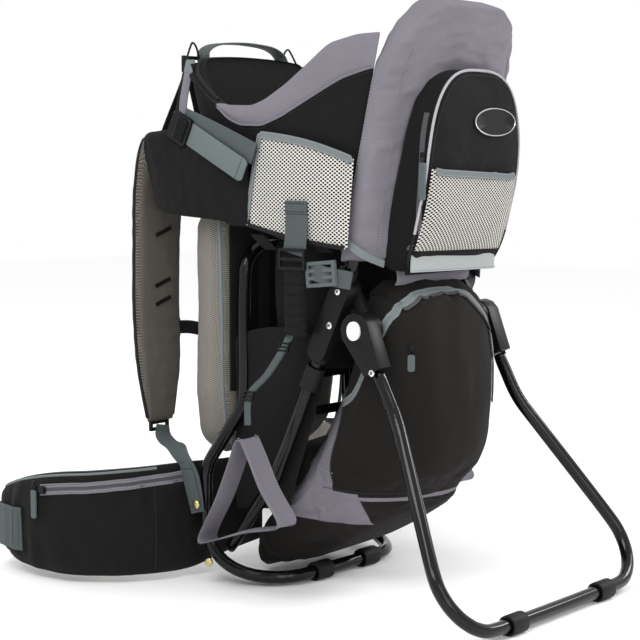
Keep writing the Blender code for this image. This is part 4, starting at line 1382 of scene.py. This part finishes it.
# ---------------------------------------------------------------- wearer's side: pad, board, yoke, straps
def back_system(look):
    rows = ((0.172, 0.096, 0.334), (0.200, 0.117, 0.341), (0.260, 0.129, 0.338), (0.380, 0.131, 0.332),
        (0.500, 0.131, 0.334), (0.537, 0.119, 0.328))

    def read(z, k):
        return ease([(row[0], row[k]) for row in rows], z)

    def surface(u, v):
        z = 0.172 + 0.365 * v
        half_width = read(z, 1)
        x = (2 * u - 1) * half_width
        rear = 0.2615 + max(0.0, z - 0.500) * 0.34
        front = read(z, 2) - 0.004 * math.cos(math.pi * 2 * (2 * u - 1)) - 0.004 * (2 * u - 1) ** 4
        return P(x, (rear + front) / 2, z)

    def half(u, v):
        z = 0.172 + 0.365 * v
        rear = 0.2615 + max(0.0, z - 0.500) * 0.34
        crown = 0.0030 * math.cos(math.pi * 2 * (2 * u - 1))
        return (read(z, 2) - rear) / 2 - crown

    def wrinkle(point, side):
        return crumple(point, 0.035, 0.0014, 6.0)

    cushion = pad("back_pad_cover", surface, 44, 56, half, [look["pad_mesh"]], edge=0.10, wrinkle=wrinkle)
    done(cushion, "frame", "back_pad", slot="pad_mesh")

    board = Build()
    board_path = [P(0, 0.2555 + (z - 0.503) * 0.3267 * (1 if z > 0.503 else 0), z) for z in (0.268, 0.34,
        0.42, 0.503, 0.58, 0.66, 0.730)]
    board.ribbon(board_path, X_AXIS, 0.254, look["black"], 0.0085)
    for side in (-1, 1):
        pipe = smooth_path([P(side * 0.100, 0.2640, 0.176), P(side * 0.121, 0.2640, 0.205),
            P(side * 0.1325, 0.2640, 0.265),
                            P(side * 0.1340, 0.2640, 0.380), P(side * 0.1335, 0.2680, 0.500),
                            P(side * 0.1220, 0.2790, 0.535)], 8)
        board.tube(pipe, 0.0026, look["tape"], 8)
        ladder = [P(side * 0.060, 0.2500, z) for z in (0.275, 0.36, 0.44, 0.50)]
        board.ribbon(ladder, X_AXIS, 0.022, look["black_webbing"], 0.0024)
    board.finish("back_board", "frame", "back_panel", slot="black_fabric")

    def yoke_surface(u, v):
        z = 0.545 + 0.182 * v
        y = 0.2925 + (z - 0.548) * 0.332
        x = (2 * u - 1) * (0.120 - 0.004 * v)
        return P(x, y, z)

    def yoke_half(u, v):
        return 0.0095

    def yoke_wrinkle(point, side):
        return crumple(point, 0.04, 0.0018, 8.0)

    yoke = pad("shoulder_yoke_cover", yoke_surface, 40, 28, yoke_half, [look["black"]], edge=0.10,
        wrinkle=yoke_wrinkle)
    done(yoke, "frame", "shoulder_yoke", slot="black_fabric")


STRAP_ROWS = (
    ((0.1570, 0.190, 0.564), (0, 0.05, 1), 0.118, 0.008),
    ((0.1600, 0.262, 0.574), (0, 0.05, 1), 0.124, 0.012),
    ((0.1605, 0.318, 0.577), (0, 0, 1), 0.122, 0.014),
    ((0.1560, 0.362, 0.578), (0.10, 0, 1), 0.116, 0.018),
    ((0.1370, 0.390, 0.574), (0.42, 0, 0.9), 0.116, 0.021),
    ((0.1200, 0.405, 0.545), (0.85, 0, 0.55), 0.106, 0.021),
    ((0.1170, 0.412, 0.490), (1, 0, 0.12), 0.092, 0.021),
    ((0.1180, 0.413, 0.380), (1, 0, 0), 0.090, 0.021),
    ((0.1200, 0.407, 0.290), (1, 0, 0), 0.082, 0.020),
    ((0.1280, 0.396, 0.212), (1, 0, 0), 0.050, 0.015),
)
ROOT_SHARE = 0.445


def shoulder_straps(look):
    for label, side in SIDES:
        centres = [P(side * x, y, z) for (x, y, z), _, _, _ in STRAP_ROWS]
        wides = [Vector((side * x, y, z)).normalized() for _, (x, y, z), _, _ in STRAP_ROWS]
        widths = [row[2] for row in STRAP_ROWS]
        thick = [row[3] for row in STRAP_ROWS]
        last = len(STRAP_ROWS) - 1

        def surface(u, v):
            t = u * last
            wide = catmull(wides, t)
            return catmull(centres, t) + wide.normalized() * catmull(widths, t) * (v - 0.5)

        def half(u, v):
            return catmull(thick, u * last) / 2 * (1.0 - 0.12 * (2 * v - 1) ** 2)

        def wrinkle(point, way):
            low = point.z < 0.55
            ribs = 0.0012 * math.sin(point.z * 2 * math.pi / 0.030) if low else 0.0
            return crumple(point, 0.026, 0.0016, 4.0) + ribs * 0.5

        def pick(u, v, way):
            if u < ROOT_SHARE:
                return 0
            return 1 if way * side > 0 else 0

        strap = pad("shoulder_strap_cover_" + label, surface, 110, 22, half,
            [look["black"], look["strap_mesh"]], pick,
                    edge=0.13, wrinkle=wrinkle)
        done(strap, "frame", "shoulder_strap_" + label, slot="pad_mesh")
        tree = surface_of(strap)

        trim = Build()
        for v in (0.02, 0.98):
            edge = [surface(ROOT_SHARE + (0.985 - ROOT_SHARE) * i / 60, v) for i in range(61)]
            trim.tube(edge, 0.0030, look["black_webbing"], 8)
        bottom = [surface(0.985, 0.05 + 0.9 * i / 10) for i in range(11)]
        trim.tube(bottom, 0.0030, look["black_webbing"], 8)
        border = [surface(ROOT_SHARE, 0.02 + 0.96 * i / 20) for i in range(21)]
        inward = Vector((0, 1, 0))
        band_on(trim, tree, border, inward, 0.0070, look["pale_tape"], 0.0016, look["dark_thread"])
        for height in (0.495, 0.420, 0.393):
            slot_path = [P(side * (0.100 + 0.006 * i), 0.34, height - 0.002 * i) for i in range(6)]
            path, outs = laid_on(tree, slot_path, inward, 0.0006)
            trim.ribbon(path, [o.cross((path[-1] - path[0]).normalized()) for o in outs], 0.0060,
                look["plastic"], 0.0014)
        trim.finish("shoulder_strap_trim_" + label, "frame", slot="black_fabric")

        lifter = Build()
        line = smooth_path([P(side * 0.0960, 0.3580, 0.7280), P(side * 0.1080, 0.3660, 0.6900),
            P(side * 0.1290, 0.3740, 0.6380), P(side * 0.1340, 0.3760, 0.6200)], 8)
        lifter.ribbon(line, X_AXIS, 0.0220, look["black_webbing"], 0.0022)
        lock = P(side * 0.0950, 0.3560, 0.7320)
        for dz in (0.009, 0.0, -0.009):
            lifter.block(lock + Z_AXIS * dz, X_AXIS, Z_AXIS, (0.040, 0.0052, 0.0056), look["plastic"], 0.6)
        for dx in (-0.0185, 0.0185):
            lifter.block(lock + X_AXIS * dx, X_AXIS, Z_AXIS, (0.0048, 0.0240, 0.0064), look["plastic"], 0.6)
        lifter.finish("load_lifter_webbing_" + label, "frame", "load_lifter_" + label, slot="black_fabric")

        chest = Build()
        line = smooth_path([P(side * 0.0720, 0.4135, 0.3450), P(side * 0.0450, 0.4150, 0.3430),
            P(side * 0.0180, 0.4120, 0.3370)], 6)
        chest.ribbon(line, Z_AXIS, 0.0200, look["black_webbing"], 0.0020)
        chest.block(P(side * 0.0140, 0.4120, 0.3360), X_AXIS, Z_AXIS, (0.020, 0.026, 0.0080),
            look["plastic"], 0.35)
        chest.block(P(side * 0.0760, 0.4130, 0.3452), X_AXIS, Z_AXIS, (0.012, 0.030, 0.0060),
            look["plastic"], 0.45)
        chest.finish("chest_strap_webbing_" + label, "frame", "chest_strap_" + label, slot="black_fabric")

        lower = Build()
        rows = (
            ((0.1270, 0.3920, 0.2060), (1, 0, 0)), ((0.1310, 0.3870, 0.1920), (1, 0.3, 0)),
            ((0.1460, 0.3620, 0.1860), (1, 0.8, -0.1)),
            ((0.1650, 0.3270, 0.1850), (0.75, 0.6, -0.3)), ((0.1786, 0.2960, 0.1710), (0, 0.62, -0.75)),
            ((0.1786, 0.2790, 0.1460), (0, 0.94, -0.34)), ((0.1786, 0.2700, 0.1000), (0, 0.98, -0.19)),
        )
        steps = 7
        path = smooth_path([P(side * x, y, z) for (x, y, z), _ in rows], steps)
        across = smooth_path([Vector((side * x, y, z)) for _, (x, y, z) in rows], steps)
        lower.ribbon(path, across, 0.0250, look["webbing"], 0.0020)
        tab = [path[-14] + X_AXIS * side * 0.0018, path[-1] + X_AXIS * side * 0.0018]
        lower.ribbon(tab, Vector((0, 0.98, -0.19)), 0.0230, look["webbing"], 0.0018)
        for k in (-12, -3):
            middle = path[k] + X_AXIS * side * 0.0030
            lower.stitches([middle + Vector((0, 0.0022 * (i - 4), -0.0004 * i)) for i in range(9)],
                X_AXIS * side, look["dark_thread"])
        slider = P(side * 0.1280, 0.3990, 0.2100)
        for dz in (0.010, 0.0, -0.010):
            lower.block(slider + Z_AXIS * dz, X_AXIS, Z_AXIS, (0.036, 0.0050, 0.0050), look["plastic"], 0.6)
        for dx in (-0.0165, 0.0165):
            lower.block(slider + X_AXIS * dx, X_AXIS, Z_AXIS, (0.0045, 0.0250, 0.0056), look["plastic"], 0.6)
        lower.finish("strap_webbing_cover_" + label, "frame", "strap_webbing_" + label, slot="grey_webbing")


# ---------------------------------------------------------------- hip belt
BELT_ROWS = (
    ((0.012, 0.300), 0.030, 0.160, 0.024), ((0.090, 0.303), 0.022, 0.162, 0.028), ((0.160, 0.309), 0.010,
    0.166, 0.026),
    ((0.222, 0.337), 0.008, 0.164, 0.036), ((0.270, 0.382), 0.008, 0.160, 0.046), ((0.297, 0.440), 0.010,
    0.154, 0.044),
    ((0.300, 0.500), 0.016, 0.140, 0.034), ((0.284, 0.548), 0.022, 0.122, 0.024), ((0.262, 0.580), 0.026,
    0.104, 0.018),
)


def hip_belts(look):
    for label, side in SIDES:
        body_name = "hip_belt_" + label
        last = len(BELT_ROWS) - 1
        plan = [Vector((side * row[0][0], row[0][1], 0)) for row in BELT_ROWS]
        lows = [row[1] for row in BELT_ROWS]
        highs = [row[2] for row in BELT_ROWS]
        thick = [row[3] for row in BELT_ROWS]

        def surface(u, v):
            t = u * last
            place = catmull(plan, t)
            low, high = catmull(lows, t), catmull(highs, t)
            return P(place.x, place.y, low + (high - low) * v)

        def half(u, v):
            return catmull(thick, u * last) / 2 * (1 - 0.25 * (2 * v - 1) ** 2)

        def wrinkle(point, way):
            upright = Vector((point.x, point.y, point.z * 0.55))
            return crumple(upright, 0.036, 0.0052, 2.5) + crumple(point, 0.015, 0.0014, 6.0)

        def pick(u, v, way):
            outer = way * side > 0
            return 0 if outer or u > 0.985 else 1

        belt = pad("hip_belt_cover_" + label, surface, 96, 30, half, [look["warm_black"], look["pad_mesh"]],
            pick, edge=0.17, wrinkle=wrinkle)
        done(belt, body_name, "hip_belt_" + label, slot="black_fabric")
        tree = surface_of(belt)

        def outward(u):
            a, b = surface(min(u + 0.01, 1.0), 0.5), surface(max(u - 0.01, 0.0), 0.5)
            way = (a - b).normalized().cross(Z_AXIS) * side
            return way if way.x * side > 0 or u > 0.8 else -way

        def on_belt(u0, u1, v0, v1, count, lift):
            spots = []
            outs = []
            for i in range(count + 1):
                u = u0 + (u1 - u0) * i / count
                v = v0 + (v1 - v0) * i / count
                way = outward(u)
                hit, out = laid_on(tree, [surface(u, v)], -way, lift)
                spots += hit
                outs += out
            return spots, outs

        trim = Build()
        path, outs = on_belt(0.275, 0.635, 0.885, 0.85, 50, 0.0008)
        acrosses = [Z_AXIS] * len(path)
        trim.ribbon(path, acrosses, 0.0160, look["lavender"], 0.0016)
        trim.ribbon([p + o * 0.0010 for p, o in zip(path, outs)], acrosses, 0.0044, look["zip"], 0.0016)
        for height in (0.0068, -0.0068):
            trim.tube([p + Z_AXIS * height + o * 0.0006 for p, o in zip(path, outs)], 0.0013,
                look["lavender"], 6)
            trim.stitches([p + Z_AXIS * height * 0.62 + o * 0.0009 for p, o in zip(path, outs)], outs,
                look["thread"])
        path, outs = on_belt(0.34, 0.99, 0.975, 0.965, 60, 0.0)
        trim.tube(path, 0.0024, look["tape"], 8)
        path, outs = on_belt(0.34, 0.99, 0.03, 0.03, 60, 0.0)
        trim.tube(path, 0.0022, look["black_webbing"], 8)
        path, outs = on_belt(0.35, 0.35, 0.06, 0.92, 24, 0.0006)
        trim.stitches(path, outs, look["dark_thread"])
        webbing, outs = on_belt(0.705, 0.992, 0.43, 0.43, 26, 0.0016)
        trim.ribbon(webbing, Z_AXIS, 0.0620, look["webbing"], 0.0022)
        for offset in (0.0, 0.012):
            base = webbing[1] + (webbing[3] - webbing[1]).normalized() * offset
            seam = [base + Z_AXIS * (0.0040 * i - 0.024) + outs[1] * 0.0014 for i in range(13)]
            trim.stitches(seam, outs[1], look["dark_thread"])
        slider, _ = on_belt(0.628, 0.628, 0.85, 0.85, 1, 0.0035)
        trim.block(slider[0], Y_AXIS, Z_AXIS, (0.0120, 0.0100, 0.0060), look["plastic"], 0.5)
        trim.finish("hip_belt_trim_" + label, body_name, slot="lavender_fabric")

        tongue = Build()
        line = smooth_path([P(side * 0.262, 0.5800, 0.0630), P(side * 0.2560, 0.5850, 0.0620),
            P(side * 0.232, 0.6000, 0.0580), P(side * 0.2040, 0.6080, 0.0560)], 6)
        tongue.ribbon(line, Z_AXIS, 0.0380, look["webbing"], 0.0024)
        tongue.finish("hip_webbing_cover_" + label, body_name, "hip_webbing_" + label, slot="grey_webbing")


# ---------------------------------------------------------------- seat, stirrups, handle and pulls
def seat(look):
    levels = ((0.478, 0.0975, 0.083, 0.221), (0.440, 0.0975, 0.086, 0.2215), (0.400, 0.0975, 0.088, 0.2215),
        (0.360, 0.0930, 0.089, 0.2195),
              (0.330, 0.0870, 0.090, 0.2175), (0.310, 0.0700, 0.102, 0.206), (0.3015, 0.0550, 0.113, 0.197))
    inner = ((0.3180, 0.0480, 0.125, 0.187), (0.3250, 0.0600, 0.112, 0.197), (0.3450, 0.0760, 0.100, 0.207),
        (0.4000, 0.0870, 0.097, 0.2115),
             (0.4400, 0.0870, 0.094, 0.2115), (0.4780, 0.0870, 0.092, 0.2115))

    def ring(z, half_wide, rear, front):
        points = []
        for k in range(48):
            angle = 2 * math.pi * k / 48
            c, s = math.cos(angle), math.sin(angle)
            x = half_wide * math.copysign(abs(c) ** 0.55, c)
            y = (rear + front) / 2 + (front - rear) / 2 * math.copysign(abs(s) ** 0.55, s)
            point = P(x, y, z)
            points.append(point + Vector((c, s, 0)) * crumple(point, 0.03, 0.0010, 3.0))
        return points

    rings = [ring(*inner[0])] + [ring(*row) for row in inner[1:]]
    rings = [ring(*row) for row in levels[::-1]] + [ring(0.4810, 0.0925, 0.0875, 0.2165)] + [ring(*row)
        for row in inner[::-1]]
    cup = shell("seat_cloth", rings, [look["seat"]])
    done(cup, "frame", "child_seat", slot="black_fabric")
    for label, side in SIDES:
        def drape(u, v):
            top = Vector((0, 0.074 + 0.178 * u, 0.343 + 0.022 * math.sin(math.pi * u) ** 0.7))
            low = Vector((0, 0.150 + 0.102 * u, 0.112 - 0.014 * u))
            middle = low.lerp(top, v)
            return P(side * (0.1188 + 0.0012 * math.sin(v * 9 + u * 5)), middle.y, middle.z)

        def drape_wrinkle(point, way):
            return 0.4 * crumple(point, 0.035, 0.0018, 4.0)

        panel = pad("seat_side_panel_" + label, drape, 24, 34, lambda u, v: 0.0006, [look["seat"]],
            wrinkle=drape_wrinkle, edge=0.04)
        done(panel, "frame", slot="black_fabric")
    straps = Build()
    for side in (-1, 1):
        for y in (0.100, 0.200):
            line = smooth_path([P(side * 0.1000, y, 0.470), P(side * 0.1140, y, 0.480),
                P(side * 0.1300, y, 0.492)], 5)
            straps.ribbon(line, Y_AXIS, 0.025, look["black_webbing"], 0.0020)
        line = smooth_path([P(side * 0.088, 0.110, 0.345), P(side * 0.120, 0.114, 0.358),
            P(side * 0.1545, 0.112, 0.366)], 6)
        straps.ribbon(line, Y_AXIS, 0.022, look["black_webbing"], 0.0020)
    straps.finish("seat_straps", "frame", slot="black_fabric")


def stirrups(look):
    corners = ((0.150, 0.232), (0.232, 0.066), (0.072, 0.112))
    for label, side in SIDES:
        middle = Vector((0, sum(y for y, _ in corners) / 3, sum(z for _, z in corners) / 3))
        points = [Vector((0, y, z)) for y, z in corners]
        path = []
        for i in range(3):
            a, b = points[i], points[(i + 1) % 3]
            for k in range(14):
                t = k / 14
                spot = a.lerp(b, t)
                toward = (middle - spot).normalized()
                bow = 0.0050 * math.sin(math.pi * t)
                path.append(spot + toward * bow)
        count = len(path)
        loop = [sum((path[(i + d) % count] for d in (-1, 0, 1)), Vector()) / 3 for i in range(count)]
        centre_x = 0.2068
        verts = []
        faces = []
        sections = 9
        for inner in (False, True):
            for spot in loop:
                toward = (middle - spot).normalized()
                for k in range(sections):
                    w = k / (sections - 1) - 0.5
                    cup = 0.0014 * (1 - (2 * w) ** 2)
                    lift = 0.0016 if inner else 0.0
                    place = spot + toward * (lift + cup)
                    x = centre_x + w * 0.0395 + 0.0008 * math.sin(spot.z * 90)
                    verts.append(P(side * x, place.y, place.z))
        sheet = count * sections
        for layer in (0, 1):
            for i in range(count):
                for k in range(sections - 1):
                    a = layer * sheet + i * sections + k
                    b = layer * sheet + ((i + 1) % count) * sections + k
                    faces.append((a, b, b + 1, a + 1) if layer else (a, a + 1, b + 1, b))
        for i in range(count):
            for k in (0, sections - 1):
                a = i * sections + k
                b = ((i + 1) % count) * sections + k
                faces.append((a, b, b + sheet, a + sheet))
        band = mesh_object("stirrup_band_" + label, verts, faces, [look["lavender"]])
        fix_normals(band)
        subdivide(band, 1)
        done(band, "stirrup_" + label, "stirrup_" + label, slot="lavender_fabric")

        stitch = Build()
        for w in (-0.43, 0.43):
            line = []
            outs = []
            for spot in loop + loop[:1]:
                toward = (middle - spot).normalized()
                place = spot - toward * 0.0004
                line.append(P(side * (centre_x + w * 0.0395), place.y, place.z))
                outs.append(-toward)
            stitch.stitches(line, outs, look["thread"])
        stitch.finish("stirrup_stitching_" + label, "stirrup_" + label, slot="lavender_fabric")

        strap = Build()
        line = smooth_path([P(side * 0.1560, 0.1120, 0.3720), P(side * 0.1600, 0.1200, 0.3480),
            P(side * 0.1740, 0.1400, 0.3080),
                            P(side * 0.1950, 0.1560, 0.2780), P(side * 0.2018, 0.1530, 0.2390)], 8)
        strap.ribbon(line, Y_AXIS, 0.0110, look["webbing"], 0.0018)
        strap.ribbon([p + X_AXIS * side * 0.0022 for p in line[6:24]], Y_AXIS, 0.0105, look["webbing"],
            0.0016)
        for k in (9, 24):
            spot = line[k] + X_AXIS * side * 0.0016
            way = (line[k + 1] - line[k - 1]).normalized()
            for offset in (-0.0055, 0.0, 0.0055):
                strap.block(spot + way * offset, Y_AXIS, way, (0.0170, 0.0026, 0.0044), look["plastic"], 0.6)
            for dy in (-0.0078, 0.0078):
                strap.block(spot + Y_AXIS * dy, Y_AXIS, way, (0.0026, 0.0140, 0.0046), look["plastic"], 0.6)
        strap.finish("stirrup_strap_cover_" + label, "frame", "stirrup_strap_" + label, slot="grey_webbing")


CORD_THICK = 0.0030


def handle_and_pulls(look):
    grab = Build()
    line = smooth_path([P(-0.0860, 0.3420, 0.7330), P(-0.0820, 0.3460, 0.7500), P(-0.0600, 0.3470, 0.7610),
        P(-0.0200, 0.3475, 0.7650),
                        P(0.0200, 0.3475, 0.7650), P(0.0600, 0.3470, 0.7610), P(0.0820, 0.3460, 0.7500),
                        P(0.0860, 0.3420, 0.7330)], 8)
    grab.ribbon(line, Y_AXIS, 0.0240, look["webbing"], 0.0026)
    for side in (-1, 1):
        for dy in (-0.007, 0.007):
            grab.stitches([P(side * 0.0865, 0.3440 + dy, 0.7340 + 0.002 * i) for i in range(7)],
                X_AXIS * side, look["dark_thread"])
    grab.finish("grab_handle_webbing", "frame", "grab_handle", slot="grey_webbing")

    for label, side in SIDES:
        line = smooth_path([P(side * 0.0900, 0.3480, 0.7400), P(side * 0.0960, 0.3480, 0.7560),
            P(side * 0.1040, 0.3475, 0.7620), P(side * 0.1110, 0.3460, 0.7540),
                            P(side * 0.1220, 0.3430, 0.7350), P(side * 0.1370, 0.3370, 0.7060),
                            P(side * 0.1500, 0.3330, 0.6720), P(side * 0.1610, 0.3270, 0.6460)], 8)
        draw = Build()
        draw.tube(line, CORD_THICK / 2, look["black_webbing"], 8)
        cord = draw.finish("edge_cord_" + label, "frame", slot="black_fabric")
        long = sum((b - a).length for a, b in zip(line, line[1:]))
        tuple(line[0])

    for name, top, out, long, body in (
        ("zip_pull_bag", P(-0.0918, -0.0386, 0.352), Vector((-0.76, -0.65, 0)), 0.036, "zip_pull_bag"),
        ("zip_pull_daypack", P(-0.106, -0.068, 0.604), Vector((-1, 0, 0)), 0.062, "zip_pull_daypack"),
        ("zip_pull_hip_left", P(-0.3245, 0.448, 0.144), Vector((-1, 0, 0)), 0.054, "zip_pull_hip_left"),
        ("zip_pull_hip_right", P(0.3245, 0.448, 0.144), Vector((1, 0, 0)), 0.054, "zip_pull_hip_right"),
    ):
        pull = Build()
        centre = top + out * 0.0030
        across = Z_AXIS.cross(out)
        pull.block(centre - Z_AXIS * 0.0030, across, Z_AXIS, (0.0060, 0.0070, 0.0026), look["plastic"], 0.5)
        loop = []
        for i in range(20):
            angle = 2 * math.pi * i / 20
            loop.append(centre - Z_AXIS * (0.0090 - 0.0055 * math.cos(angle)) + across * 0.0026
                * math.sin(angle))
        pull.tube(loop, 0.0009, look["plastic"], 6, closed=True)
        grip_low = long - 0.001
        length = grip_low - 0.0125
        grip = centre - Z_AXIS * (0.0125 + length / 2)
        pull.block(grip, across, Z_AXIS, (0.0098, length, 0.0032), look["buckle"], 0.6)
        ridges = int(length / 0.0042)
        for i in range(1, ridges):
            pull.block(grip + Z_AXIS * (length / 2 - i * 0.0042) + out * 0.0016, across, Z_AXIS,
                (0.0066, 0.0014, 0.0006), look["buckle"], 0.5)
        pull.finish(name + "_grip", body, name, slot="grey_plastic")


def write_size(first, last):
    low, high = last
    record = {
        "cad_low": list(first[0]), "cad_high": list(first[1]),
        "final_low": list(low), "final_high": list(high),
    }


look = make_materials()
camera_and_studio()
finish_cad_nodes(look)
hinge_details(look)
storage_bag(look)
hood(look)
daypack(look)
cockpit(look)
side_pockets(look)
compression_straps(look)
back_system(look)
shoulder_straps(look)
hip_belts(look)
seat(look)
stirrups(look)
handle_and_pulls(look)
write_size((cad_low, cad_high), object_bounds())
